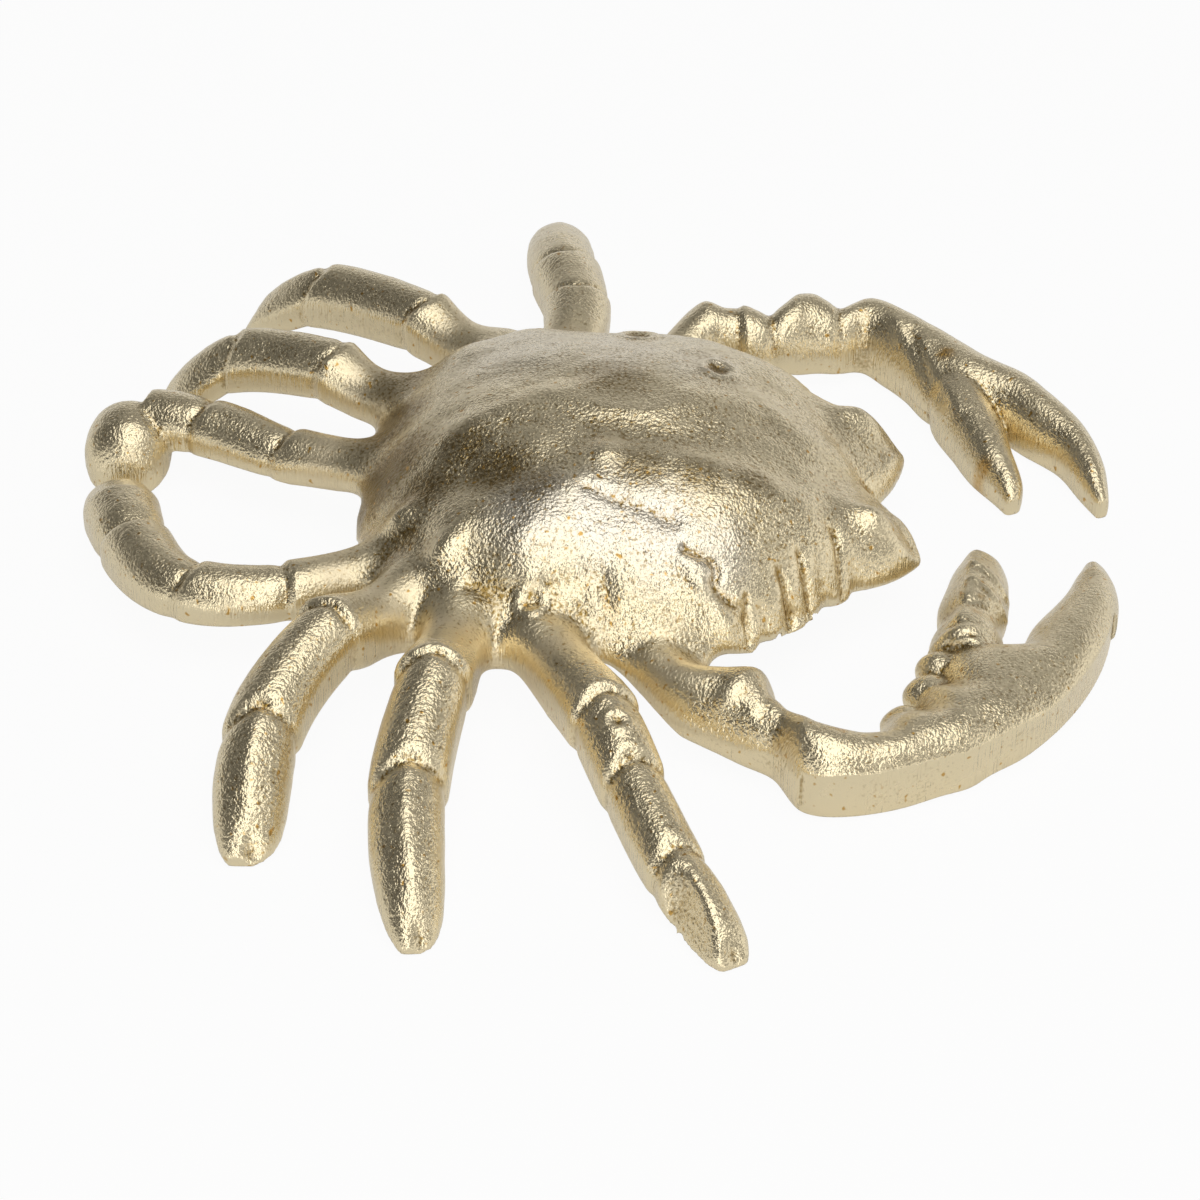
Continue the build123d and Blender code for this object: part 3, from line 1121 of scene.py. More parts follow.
SHELL = Shell()
RIGHT_FRONT = Leg("right_front_leg", (
    (-57.0, 7.4, 12.3, 19.4, 6.5), (-73.2, 0.0, 13.1, 20.2, 8.4), (-86.6, -4.8, 11.5, 15.6, 5.0),
    (-105.1, -11.8, 10.5, 11.0, 1.9), (-123.6, -21.1, 10.2, 6.5, 0)),
    facets=(Facet(0.74, 1.1, 1, 0.15),))
RIGHT_SECOND = Leg("right_second_leg", (
    (-53.5, 27.2, 12.1, 20.6, 7.4), (-66.8, 30.0, 13.4, 24.0, 10.1), (-88.5, 33.8, 13.4, 16.6, 4.6),
    (-120.0, 31.0, 11.5, 6.5, 0)), slant=1.0, ridge=0.07)
RIGHT_THIRD = Leg("right_third_leg", (
    (-44.0, 41.3, 12.1, 20.6, 7.4), (-52.4, 49.1, 13.4, 24.0, 10.8), (-74.0, 59.9, 13.4, 17.0, 6.0),
    (-97.4, 60.5, 13.1, 7.2, 0)), slant=1.2, ridge=0.07)
RIGHT_REAR = Leg("right_rear_leg", (
    (-29.0, 49.7, 12.1, 18.0, 8.4), (-31.4, 58.2, 12.7, 17.0, 8.4), (-30.2, 75.7, 13.1, 16.6, 7.4),
    (-12.2, 88.2, 13.7, 15.6, 4.8), (11.0, 94.4, 15.3, 13.2, 0.7)),
    Ending.LOBE, chevron=1.0, ridge=0.0)
LEFT_FRONT = Leg("left_front_leg", (
    (55.0, 5.3, 12.3, 17.5, 6.0), (73.5, 3.4, 13.9, 18.5, 6.0), (90.6, 5.6, 14.5, 17.0, 4.3),
    (123.9, 6.7, 14.2, 8.6, 0)))
LEFT_SECOND = Leg("left_second_leg", (
    (52.5, 28.3, 12.1, 20.9, 9.6), (58.1, 34.6, 12.9, 24.0, 11.8), (77.0, 57.7, 13.4, 19.0, 7.4),
    (82.6, 73.8, 11.5, 8.2, 0)), lean=0.15, wall=0.5)
LEFT_THIRD = Leg("left_third_leg", (
    (33.5, 45.6, 12.1, 20.6, 10.1), (37.7, 52.2, 13.0, 24.2, 13.0), (49.1, 73.8, 13.4, 19.0, 8.2),
    (47.9, 89.4, 11.5, 7.7, 0)), lean=0.15, wall=0.5)
LEFT_REAR = Leg("left_rear_leg", (
    (12.0, 51.8, 12.1, 18.0, 7.7), (16.5, 60.8, 12.7, 16.3, 8.2), (27.5, 77.8, 13.1, 16.3, 7.0),
    (32.0, 89.8, 13.4, 15.8, 6.5)),
    Ending.PLAIN, chevron=1.0, ridge=0.0)
LEFT_LOBE = Leg("left_rear_lobe", ((34.5, 93.0, 15.8, 15.0, 3.5), (16.5, 93.8, 16.4, 13.4, 0.7)),
                Ending.ROUND, chevron=0.0, ridge=0.0, rooted=False)
RIGHT_CLAW = Claw("right_claw", (
    (-55.4, -17.8, -61.0, -8.0, 15.4, 5.6), (-54.8, -23.2, -66.2, -12.9, 15.8, 4.1),
    (-54.4, -28.8, -70.2, -19.4, 16.0, 2.9), (-60.6, -31.4, -74.2, -26.4, 14.8, 2.0),
    (-64.8, -32.8, -76.2, -29.9, 13.2, 1.4), (-67.4, -35.8, -83.2, -33.9, 15.2, 0),
    (-69.8, -39.6, -85.2, -40.4, 14.8, 0), (-70.4, -44.6, -84.2, -46.9, 13.4, 0),
    (-68.8, -49.2, -82.2, -53.4, 13.3, 0), (-62.4, -51.2, -79.2, -60.4, 13.6, 0),
    (-61.2, -55.4, -77.2, -64.9, 13.2, 0), (-53.2, -56.4, -73.2, -69.9, 13.4, 0),
    (-52.2, -59.4, -70.2, -73.9, 13.2, 0), (-45.7, -58.9, -66.2, -78.4, 13.0, 0),
    (-40.2, -62.4, -60.2, -83.4, 12.6, 0), (-40.2, -74.9, -52.2, -88.4, 11.5, 0),
    (-32.2, -80.4, -42.2, -93.4, 11.1, 0), (-24.2, -86.4, -31.2, -96.9, 9.9, 0),
    (-16.2, -90.9, -20.2, -98.4, 8.4, 0), (-9.7, -93.9, -10.7, -96.9, 5.0, 0)),
    crests=((0, 0.0), (4, 0.0), (6, 0.1), (9, 0.25), (12, 0.35), (15, 0.2), (19, 0.0)),
    walls=((0, 0.34), (4, 0.4), (6, 0.55), (9, 0.62), (14, 0.62), (17, 0.55), (19, 0.4)))
RIGHT_FINGER = Claw("right_finger", (
    (-43.2, -60.4, -46.2, -72.9, 11.5, 0), (-35.2, -61.9, -38.2, -74.9, 11.1, 0),
    (-32.2, -63.4, -34.2, -74.9, 9.9, 0), (-29.2, -63.4, -31.2, -75.9, 10.8, 0),
    (-18.2, -66.4, -20.2, -77.9, 9.9, 0), (-11.2, -69.4, -13.2, -77.9, 8.0, 0),
    (-8.2, -72.9, -9.2, -76.4, 4.5, 0)), rooted=False)
LEFT_CLAW = Claw("left_claw", (
    (53.7, -21.0, 59.3, -11.2, 14.0, 5.6), (55.5, -24.1, 65.5, -15.1, 15.0, 5.7),
    (58.5, -25.1, 73.5, -22.8, 17.4, 5.6), (59.0, -29.1, 71.5, -27.1, 16.0, 5.0),
    (57.5, -32.1, 73.0, -31.1, 16.9, 5.0), (58.5, -37.6, 70.5, -36.1, 15.0, 4.1),
    (59.5, -42.6, 77.5, -43.1, 17.5, 2.9), (60.5, -46.6, 78.5, -47.1, 16.9, 2.8),
    (61.5, -51.6, 75.0, -52.1, 14.6, 2.0), (63.5, -56.6, 78.5, -59.1, 15.4, 1.0),
    (60.5, -60.1, 75.5, -65.1, 15.4, 0), (55.5, -63.6, 69.5, -72.1, 14.8, 0),
    (50.5, -66.1, 63.0, -79.1, 14.3, 0), (44.5, -69.6, 58.0, -84.1, 14.0, 0),
    (39.5, -81.1, 51.5, -90.1, 13.2, 0), (33.5, -86.6, 44.0, -95.1, 12.3, 0),
    (26.5, -92.6, 33.5, -100.1, 10.6, 0), (17.5, -96.1, 20.5, -102.1, 8.4, 0),
    (10.5, -99.1, 11.5, -101.6, 5.0, 0)), walls=((0, 0.22),), arch=0.6, soft=0.58)
LEFT_FINGER = Claw("left_finger", (
    (48.5, -69.6, 50.5, -80.6, 12.9, 0), (41.5, -69.1, 43.5, -81.6, 12.3, 0),
    (31.5, -72.1, 34.5, -83.6, 11.1, 0), (21.5, -75.6, 23.5, -84.6, 9.2, 0),
    (15.5, -79.1, 16.5, -85.1, 7.0, 0), (11.5, -81.1, 12.5, -84.1, 4.5, 0)),
    walls=((0, 0.22),), rooted=False, arch=0.6, soft=0.55)

# What is worked into the shell.
SHELL_WORK = (
    # Long hollows and swellings of the back.
    Chase(((-20.4, 24.2), (-21.1, 16.1), (-19.4, 8.1), (-13.6, 0.9), (-13.5, -8.8),
           (-14.7, -18.5), (-15.0, -28.2), (-17.9, -34.7)), 6.0, -0.9),
    Chase(((-28.9, 8.2), (-26.0, 2.6), (-20.2, -0.6), (-21.6, -5.4), (-23.0, -10.2),
           (-22.1, -16.6), (-24.0, -23.8), (-22.5, -31.1)), 5.6, 0.6),
    Chase(((-19.1, -0.7), (-18.1, -1.0)), 2.8, 0.7),
    Chase(((-7.5, 27.6), (-3.5, 18.7), (-0.3, 8.9), (-1.0, 2.4), (-5.2, -9.0), (-0.9, -19.0),
           (2.5, -30.8), (-1.1, -39.1)), 4.5, 0.8),
    Chase(((6.7, -8.0), (6.9, -14.3)), 8.0, 0.5),
    # Two bosses at the rear.
    Chase(((-23.0, 36.6),), 3.2, 2.1),
    Chase(((-36.5, 28.7),), 3.4, 1.9),
    # Two rings with their dimples.
    Chase(((29.6, -8.1),), 1.0, 0.55, ring=3.5),
    Chase(((29.6, -8.1),), 2.5, -0.8),
    Chase(((12.5, -22.9),), 1.0, 0.5, ring=3.1),
    Chase(((12.5, -22.9),), 2.2, -0.7),
    # A channel, a small ring and a dent on the near flank.
    Chase(((-43.7, 23.8), (-44.8, 18.3), (-45.5, 12.1), (-44.0, 8.2), (-43.1, 0.3),
           (-46.3, -0.8)), 1.6, -0.7),
    Chase(((-46.7, 12.8),), 1.0, 0.5, ring=2.4),
    Chase(((-48.4, 8.9), (-48.1, 4.2)), 2.6, -0.8),
    Chase(((-28.0, 2.6), (-30.2, -2.1), (-32.2, -8.4), (-34.5, -13.1)), 1.3, -0.4),
    # The crack with its raised edges and the pimples beside it.
    Chase(((-38.9, -15.0), (-39.8, -19.3), (-41.5, -20.9), (-43.9, -20.1), (-45.0, -22.4),
           (-45.2, -24.9), (-46.2, -26.5), (-48.9, -27.6)), 0.9, -0.8),
    Chase(((-40.7, -14.6), (-41.8, -18.0), (-43.6, -18.2), (-46.0, -20.2),
           (-46.9, -23.4)), 1.2, 0.5),
    Chase(((-42.7, -16.1), (-44.4, -17.7)), 1.3, 0.5),
    Chase(((-43.7, -24.9),), 1.4, 0.5),
    Chase(((-39.7, -31.8), (-41.2, -32.3)), 1.4, 0.6),
    Chase(((-45.2, -28.9),), 1.3, 0.5),
    Chase(((-33.9, -38.1),), 1.6, 0.5),
    # Grooves and ribs of the near skirt.
    Chase(((-25.2, -43.8), (-33.5, -45.6)), 1.0, -0.8),
    Chase(((-33.2, -36.5), (-40.5, -40.0)), 1.0, -0.8),
    Chase(((-37.4, -32.7), (-43.8, -36.2)), 1.0, -0.7),
    Chase(((-43.6, -26.3), (-51.0, -28.5)), 0.9, -1.0),
    Chase(((-31.5, -41.0), (-34.0, -42.3)), 2.2, 0.6),
    Chase(((-37.5, -35.3), (-40.0, -36.6)), 1.8, 0.5),
    Chase(((-42.5, -31.0), (-45.5, -32.2)), 2.2, 0.6),
    Chase(((-48.0, -22.0), (-50.0, -23.0)), 2.4, 0.5),
    # Grooves of the far skirt.
    Chase(((24.0, -43.5), (32.0, -46.0)), 0.8, -1.0),
    Chase(((31.5, -36.5), (38.8, -40.0)), 1.0, -0.8),
    Chase(((36.0, -32.5), (42.2, -36.0)), 0.8, -0.9),
    Chase(((42.0, -26.3), (49.5, -28.5)), 0.9, -1.0),
    # Channels behind the horns.
    Chase(((1.0, -51.0), (6.0, -46.0), (14.0, -43.0), (22.0, -42.0)), 3.2, -0.7),
    Chase(((-3.0, -51.0), (-8.0, -46.0), (-16.0, -43.0), (-24.0, -42.0)), 3.2, -0.7),
)

# What is worked into the limbs.
LIMB_WORK = (
    # A ring with its dimple on the first leg.
    Chase(((-79.1, -2.2),), 0.9, 0.4, ring=2.0),
    Chase(((-79.1, -2.2),), 1.3, -0.4),
    # Knuckles and a crease of the near palm.
    Chase(((-64.3, -50.0),), 2.2, 0.6),
    Chase(((-55.7, -55.0),), 2.2, 0.6),
    Chase(((-46.8, -57.8),), 2.0, 0.5),
    Chase(((-43.6, -57.5), (-43.6, -68.0)), 0.9, -0.6),
    Chase(((-41.5, -57.5), (-41.5, -68.0)), 1.1, 0.4),
    # Ridges of its short finger.
    Chase(((-12.0, -72.0), (-24.0, -70.0), (-38.0, -66.5)), 1.6, 0.8),
    Chase(((-19.0, -71.0), (-24.5, -76.5)), 0.9, 0.5),
    Chase(((-25.0, -70.0), (-30.5, -76.0)), 0.9, 0.5),
    # A swelling and a crease of its arm.
    Chase(((-54.0, -29.5), (-60.0, -27.5), (-66.5, -22.0)), 2.0, 0.7),
    Chase(((-62.0, -31.0), (-70.5, -28.2)), 1.5, -0.7),
    # Creases of the far arm.
    Chase(((74.0, -29.9), (53.0, -30.3)), 1.0, -0.45),
    Chase(((73.0, -36.6), (54.0, -38.0)), 1.2, -0.45),
    Chase(((78.0, -52.0), (58.0, -51.5)), 1.4, -0.4),
    # Ridges and a crease of the far palm.
    Chase(((63.5, -63.5), (43.1, -69.5)), 1.5, 0.5),
    Chase(((57.0, -68.0), (36.0, -73.3)), 1.5, 0.5),
    Chase(((61.0, -66.0), (39.5, -71.5)), 1.1, -0.35),
)

# Pools of amber lacquer.
STAINS = (Patch(-75.9, -41.1, 1.2, 0.9), Patch(-35.5, -69.4, 1.0, 0.6),
          Patch(-30.5, -71.0, 0.8, 0.5), Patch(52.6, -72.5, 1.8, 0.9),
          Patch(20.3, -77.0, 1.8, 0.8), Patch(-47.5, -2.0, 1.4, 0.3))

# What is welded on, in the order in which it is sawn.
LIMBS = (RIGHT_FRONT, RIGHT_SECOND, RIGHT_THIRD, RIGHT_REAR,
         LEFT_FRONT, LEFT_SECOND, LEFT_THIRD, LEFT_REAR, RIGHT_CLAW, LEFT_CLAW)

# Fillings between limbs, lobes of the near palm, and all that is fused but not welded on.
WEBS = (Bead((-47.5, 18.0, 11.5), (6.0, 6.0, 4.5)), Bead((-43.0, 34.6, 11.5), (5.5, 5.5, 4.2)),
        Bead((-51.6, -16.6, 9.4), (3.2, 3.6, 3.4)))
LOBES = (Bead((-63.8, -54.2, 4.5), (4.4, 4.4, 4.6)), Bead((-54.8, -59.4, 4.5), (4.8, 4.8, 4.8)),
         Bead((-47.6, -62.0, 4.6), (4.4, 4.4, 4.8)))
EXTRAS = (LEFT_LOBE, RIGHT_FINGER, LEFT_FINGER, *WEBS, *LOBES)

# Painted shade: darker patches on surfaces facing up, where they would mirror dim parts of the
# room, and in two dimples.
PAINTED_SHADE = (Patch(-6.0, 40.6, 8.5, 1.2), Patch(-18.0, 33.0, 6.0, 0.9),
        Patch(12.0, 41.0, 8.0, 1.0), Patch(28.5, 38.0, 8.0, 0.6),
        Patch(-12.1, 26.2, 6.0, 0.7), Patch(-20.0, 18.6, 6.0, 0.9),
        Patch(-26.0, 12.5, 4.5, 0.7), Patch(4.0, -3.0, 7.0, 0.5),
        Patch(-44.5, 21.1, 3.6, 0.6), Patch(-29.0, 37.0, 4.0, 0.6),
        Patch(-22.5, -7.1, 4.5, 0.6), Patch(-24.2, -18.0, 4.5, 0.6),
        Patch(-23.0, -28.0, 4.0, 0.5), Patch(29.6, -8.1, 2.2, 0.8), Patch(12.5, -22.9, 2.0, 0.7))
# Painted sheen: paler, greyer patches on the lit slopes, where they would mirror the soft boxes.
PAINTED_SHEEN = (Patch(-32.0, 12.0, 9.0, 0.9), Patch(-33.0, 0.0, 9.0, 1.0),
        Patch(-35.0, -10.0, 9.0, 1.0), Patch(-38.0, -20.0, 7.0, 0.7),
        Patch(22.0, 14.0, 14.0, 0.6), Patch(18.0, -4.0, 12.0, 0.6), Patch(14.0, -18.0, 10.0, 0.5))


@dataclass(frozen=True)
class Foundry:
    """Makes the skin of the whole crab and saws it into its castings and welds.

    Reaches and shifts are in millimetres, shares of a full effect lie between 0 and 1.
    """

    # Webs where limbs run into the body, and the satin areas beside the welds.
    web_shift: float = -7.5
    web_start: float = 1.9
    web_reach: float = 8.0
    bead_reach: float = 6.0
    web_turns: int = 90
    satin_shift: float = -1.0
    satin_start: float = 1.6
    satin_reach: float = 6.5
    # Smoothing, and where the skin is a flank or belongs to a limb.
    first_turns: int = 3
    chased_softening: float = 0.5
    flank_level: float = 0.62
    flank_gain: float = 4.0
    limb_oval: Point = (56.0, 54.0)
    limb_edge: float = 0.95
    limb_gain: float = 8.0
    # How much less of the hammering these areas get.
    satin_calm: float = 0.75
    flank_calm: float = 0.7
    limb_calm: float = 0.5
    # The filed wall of the near palm.
    palm_rows: tuple[int, int] = (5, 17)
    palm_inset: float = 0.9
    palm_reach: float = 3.0
    # How the finish reads hollows, for their lacquer and painted shade, and the top side, which
    # alone takes the painted shade and sheen.
    hollow_turns: int = 6
    hollow_gain: float = 6.0
    top_gain: float = 4.0
    # Which of the skin is thinned, and by how much.
    thin_facing: float = -0.3
    thin_margin: float = 1.0
    thin_share: float = 0.85
    # How near a vertex lies to a saw cut.
    cut_slack: float = 0.003
    cut_reach: float = 4.0

    def fused(self) -> bpy.types.Mesh:
        """Joins every form and remeshes them as one skin.

        Returns:
            The closed skin.
        """
        form = bmesh.new()
        for maker in (SHELL, *LIMBS, *EXTRAS):
            mesh = maker.mesh()
            form.from_mesh(mesh)
            bpy.data.meshes.remove(mesh)
        piece = new_object("joined", finished(form, "joined"))
        remesh = piece.modifiers.new("skin", "REMESH")
        remesh.mode = "VOXEL"
        remesh.voxel_size = VOXEL * MM
        skin = applied(piece)
        bpy.data.objects.remove(piece)
        log.info("fused skin: %d vertices", len(skin.vertices))
        return skin

    def worked(self, mesh: bpy.types.Mesh, roots: list[Root], low: Vector, high: Vector) -> None:
        """Smooths, chases and hammers the fused skin, and notes what the finish needs.

        Args:
            mesh: The fused skin.
            roots: Where the limbs are welded on.
            low: Lower corner of the part's box, which the skin stays inside.
            high: Its upper corner.
        """
        clay = Clay(mesh)
        webs = clay.around(
            [root.ahead(self.web_shift) for root in roots], self.web_start, self.web_reach)
        satin = clay.around(
            [root.ahead(self.satin_shift) for root in roots], self.satin_start, self.satin_reach)
        clay.smooth(1.0, self.first_turns)
        beads = [np.array(bead.middle[:2]) for bead in WEBS]
        webs = np.maximum(webs, clay.around(beads, self.web_start, self.bead_reach))
        clay.smooth(webs, self.web_turns)
        clay.chase(SHELL_WORK + LIMB_WORK)
        clay.smooth(self.chased_softening, 1)
        up = clay.normals()[:, 2]
        flank = np.clip((self.flank_level - np.abs(up)) * self.flank_gain, 0, 1)
        limb = (SHELL.oval(clay.at, self.limb_oval) - self.limb_edge) * self.limb_gain
        limb = np.clip(limb, 0, 1)
        calm = (1 - self.flank_calm * flank * limb) * (1 - self.limb_calm * limb)
        clay.hammer((1 - self.satin_calm * satin) * np.clip(up + 1, 0, 1) * calm)
        palm = RIGHT_CLAW.outer_edge(*self.palm_rows, self.palm_inset)
        filed = clay.file(palm, self.palm_reach)
        depth = clay.depth(self.hollow_turns)
        clay.at = np.clip(clay.at, np.array(low) / MM, np.array(high) / MM)
        clay.store()
        on_top = np.clip(up * self.top_gain, 0, 1)
        # Depth of each hollow, which the finish darkens: partly lacquer pooled in the real casting,
        # partly painted shade.
        clay.keep("hollow", np.clip(depth * self.hollow_gain, -1, 1))
        clay.keep("satin", satin)
        clay.keep("filed", np.maximum(flank, filed))
        # Painted shade, then painted sheen, only on surfaces facing up.
        clay.keep("dark", clay.spread(PAINTED_SHADE) * on_top)
        clay.keep("worn", clay.spread(PAINTED_SHEEN) * on_top)
        clay.keep("stain", clay.spread(STAINS))

    def thinned(self, skin: bpy.types.Mesh) -> bpy.types.Mesh:
        """Thins the smooth skin inside the hollow, so that the body casting is a light mesh.

        Args:
            skin: The worked skin of the whole crab.

        Returns:
            The skin with fewer faces in the hollow and the rest as it was.
        """
        down = read(skin.vertex_normals, "vector", 3)[:, 2] < self.thin_facing
        inside = SHELL.in_hollow(read(skin.vertices, "co", 3) / MM, self.thin_margin)
        chosen = np.flatnonzero(down & inside)
        piece = new_object("thick", skin)
        piece.vertex_groups.new(name="inside").add(chosen.tolist(), 1.0, "REPLACE")
        thin = piece.modifiers.new("thin", "DECIMATE")
        thin.vertex_group = "inside"
        thin.ratio = 1 - self.thin_share * len(chosen) / len(skin.vertices)
        slim = new_object("slim", applied(piece))
        slim.vertex_groups.clear()
        mesh = slim.data
        for item in (piece, slim):
            bpy.data.objects.remove(item)
        log.info("thinned to %d vertices", len(mesh.vertices))
        return mesh

    def sawn(self, skin: bpy.types.Mesh, roots: list[Root]) -> list[bpy.types.Object]:
        """Saws the skin along both faces of each weld.

        Args:
            skin: The skin of the whole crab.
            roots: The welds.

        Returns:
            The separate pieces, not yet named.
        """
        form = bmesh.new()
        for root in roots:
            bmesh.ops.create_cube(form, size=1.0, matrix=root.box())
        saw = new_object("saw", finished(form, "saw"))
        pieces = []
        for way in ("DIFFERENCE", "INTERSECT"):
            whole = new_object("whole", skin)
            cut = whole.modifiers.new("cut", "BOOLEAN")
            cut.operation = way
            cut.solver = "MANIFOLD"
            cut.object = saw
            part = new_object("part", applied(whole))
            bpy.data.objects.remove(whole)
            before = set(bpy.data.objects)
            bpy.ops.object.select_all(action="DESELECT")
            part.select_set(True)
            bpy.context.view_layer.objects.active = part
            bpy.ops.mesh.separate(type="LOOSE")
            pieces += [part] + [o for o in bpy.data.objects if o not in before]
        bpy.data.objects.remove(saw)
        return pieces

    def on_cut(self, at: np.ndarray, roots: list[Root]) -> np.ndarray:
        """Finds the vertices that a saw cut made.

        Args:
            at: Places in millimetres.
            roots: The welds.

        Returns:
            Which places lie on a face of a weld.
        """
        found = np.zeros(len(at), bool)
        for root in roots:
            step = at[:, :2] - root.middle
            off = np.abs(np.abs(step @ np.array(root.way)) - WELD / 2)
            near = np.hypot(*step.T) < root.half_width + self.cut_reach
            found |= (off < self.cut_slack) & near
        return found

    def soothe(self, piece: bpy.types.Mesh, skin: bpy.types.Mesh, tree: BVHTree,
               roots: list[Root]) -> None:
        """Gives a piece the skin's own directions and finish along its saw cuts.

        No seam shows then between a weld and the castings that it joins.

        Args:
            piece: The sawn mesh, which gets its directions set.
            skin: The whole skin before sawing.
            tree: The skin's faces, for finding the nearest.
            roots: The welds that it was sawn at.
        """
        at = read(piece.vertices, "co", 3) / MM
        on_cut = self.on_cut(at, roots)
        corners = np.empty(len(piece.loops), np.int32)
        piece.loops.foreach_get("vertex_index", corners)
        starts = np.empty(len(piece.polygons), np.int32)
        piece.polygons.foreach_get("loop_start", starts)
        cap = np.logical_and.reduceat(on_cut[corners], starts)
        sizes = np.diff(np.append(starts, len(corners)))
        side = on_cut[corners] & ~np.repeat(cap, sizes)
        normals = read(piece.corner_normals, "vector", 3)
        skin_normals = read(skin.vertex_normals, "vector", 3)
        known: dict[int, np.ndarray] = {}
        layers = [(skin.attributes[name].data, piece.attributes[name].data) for name in LAYERS]
        for corner in np.flatnonzero(side):
            vertex = int(corners[corner])
            if vertex not in known:
                where = Vector(at[vertex] * MM)
                near = list(skin.polygons[tree.find_nearest(where)[2]].vertices)
                weight = [1 / ((skin.vertices[v].co - where).length + TOUCH) for v in near]
                mean = np.average(skin_normals[near], axis=0, weights=weight)
                known[vertex] = mean / np.linalg.norm(mean)
                for source, target in layers:
                    values = [source[v].value for v in near]
                    target[vertex].value = np.average(values, weights=weight)
            normals[corner] = known[vertex]
        piece.normals_split_custom_set(normals.tolist())

    def named(self, pieces: list[bpy.types.Object]) -> dict[str, bpy.types.Object]:
        """Matches each sawn piece with the CAD node whose box it fills best.

        Args:
            pieces: The sawn pieces. Crumbs that fill no box as well are removed.

        Returns:
            One piece for each node's name.
        """
        boxes = {name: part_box(name) for name in frame["nodes"]}
        found: dict[str, bpy.types.Object] = {}
        misfit: dict[str, float] = {}
        for piece in pieces:
            corners = [Vector(c) for c in piece.bound_box]
            low = Vector(min(c[k] for c in corners) for k in range(3))
            high = Vector(max(c[k] for c in corners) for k in range(3))
            off = {name: (box[0] - low).length + (box[1] - high).length
                   for name, box in boxes.items()}
            name = min(off, key=off.get)
            log.info("%s off by %.1f mm, %d faces", name, off[name] / MM,
                     len(piece.data.polygons))
            if name in found and misfit[name] <= off[name]:
                bpy.data.objects.remove(piece)
                continue
            if name in found:
                bpy.data.objects.remove(found[name])
            found[name], misfit[name] = piece, off[name]
        return found


class Nodes:
    """Short ways to place and link nodes in one tree."""

    def __init__(self, tree: bpy.types.NodeTree) -> None:
        """Keeps the tree."""
        self.tree = tree

    def add(self, kind: str, **settings: object) -> bpy.types.Node:
        """Adds a node.

        Args:
            kind: Its type.
            settings: Its properties.

        Returns:
            The node.
        """
        node = self.tree.nodes.new(kind)
        for name, value in settings.items():
            setattr(node, name, value)
        return node

    def join(self, source: Socket, target: Socket) -> None:
        """Links two sockets."""
        self.tree.links.new(source, target)

    def feed(self, socket: Socket, value: "Socket | float | Colour") -> None:
        """Links a socket to a socket, or sets it to a value.

        Args:
            socket: The input to feed.
            value: What feeds it.
        """
        if isinstance(value, Socket):
            self.join(value, socket)
        else:
            socket.default_value = value

    def math(self, operation: str, a: "Socket | float", b: "Socket | float",
             clamp: bool = False) -> Socket:
        """Works out one arithmetic step.

        Args:
            operation: Name of the operation.
            a: The first number.
            b: The second number.
            clamp: Whether the result is held between 0 and 1.

        Returns:
            The result.
        """
        node = self.add("ShaderNodeMath", operation=operation, use_clamp=clamp)
        for socket, value in zip(node.inputs, (a, b)):
            self.feed(socket, value)
        return node.outputs[0]

    def times(self, a: "Socket | float", b: "Socket | float", clamp: bool = False) -> Socket:
        """The product of two numbers."""
        return self.math("MULTIPLY", a, b, clamp)

    def plus(self, a: "Socket | float", b: "Socket | float", clamp: bool = False) -> Socket:
        """The sum of two numbers."""
        return self.math("ADD", a, b, clamp)

    def without(self, a: Socket, share: float) -> Socket:
        """What is left of 1 after a share of a number is taken off."""
        return self.math("SUBTRACT", 1.0, self.times(a, share))

    def noise(self, where: Socket, scale: float, detail: float) -> Socket:
        """Reads a noise.

        Args:
            where: The place.
            scale: How fine the noise is.
            detail: How many finer layers it has.

        Returns:
            A number about 0.5.
        """
        node = self.add("ShaderNodeTexNoise")
        self.join(where, node.inputs["Vector"])
        node.inputs["Scale"].default_value = scale
        node.inputs["Detail"].default_value = detail
        return node.outputs["Fac"]

    def mix(self, share: "Socket | float", a: "Socket | Colour",
            b: "Socket | Colour") -> Socket:
        """Mixes two colours.

        Args:
            share: How much of the second.
            a: The first colour.
            b: The second colour.

        Returns:
            The mixed colour.
        """
        node = self.add("ShaderNodeMix", data_type="RGBA")
        # Inputs 6 and 7 are the colours; those between are for other kinds of value.
        for place, value in ((0, share), (6, a), (7, b)):
            self.feed(node.inputs[place], value)
        return node.outputs[2]

    def mix_shaders(self, share: Socket, a: Socket, b: Socket) -> Socket:
        """Mixes two shaders.

        Args:
            share: How much of the second.
            a: The first shader.
            b: The second shader.

        Returns:
            The mixed shader.
        """
        node = self.add("ShaderNodeMixShader")
        for socket, source in zip(node.inputs, (share, a, b)):
            self.join(source, socket)
        return node.outputs[0]


@dataclass(frozen=True)
class Speckle:
    """A noise above a level, strengthened."""

    scale: float
    detail: float
    level: float
    gain: float

    def over(self, n: Nodes, where: Socket, clamp: bool = False) -> Socket:
        """How far the noise at a place lies above the level."""
        above = n.math("SUBTRACT", n.noise(where, self.scale, self.detail), self.level)
        return n.times(above, self.gain, clamp)


class Group:
    """A node group shared by the finishes."""

    def __init__(self, name: str, inputs: dict[str, Kind], outputs: dict[str, Kind]) -> None:
        """Starts the group with its sockets.

        Args:
            name: Its name.
            inputs: Names and kinds of what it is given.
            outputs: The same of what it gives.
        """
        self.tree = bpy.data.node_groups.new(name, "ShaderNodeTree")
        for way, sockets in (("INPUT", inputs), ("OUTPUT", outputs)):
            for label, kind in sockets.items():
                self.tree.interface.new_socket(label, in_out=way, socket_type=kind.value)
        self.nodes = Nodes(self.tree)
        self.given = self.nodes.add("NodeGroupInput").outputs
        self.made = self.nodes.add("NodeGroupOutput").inputs


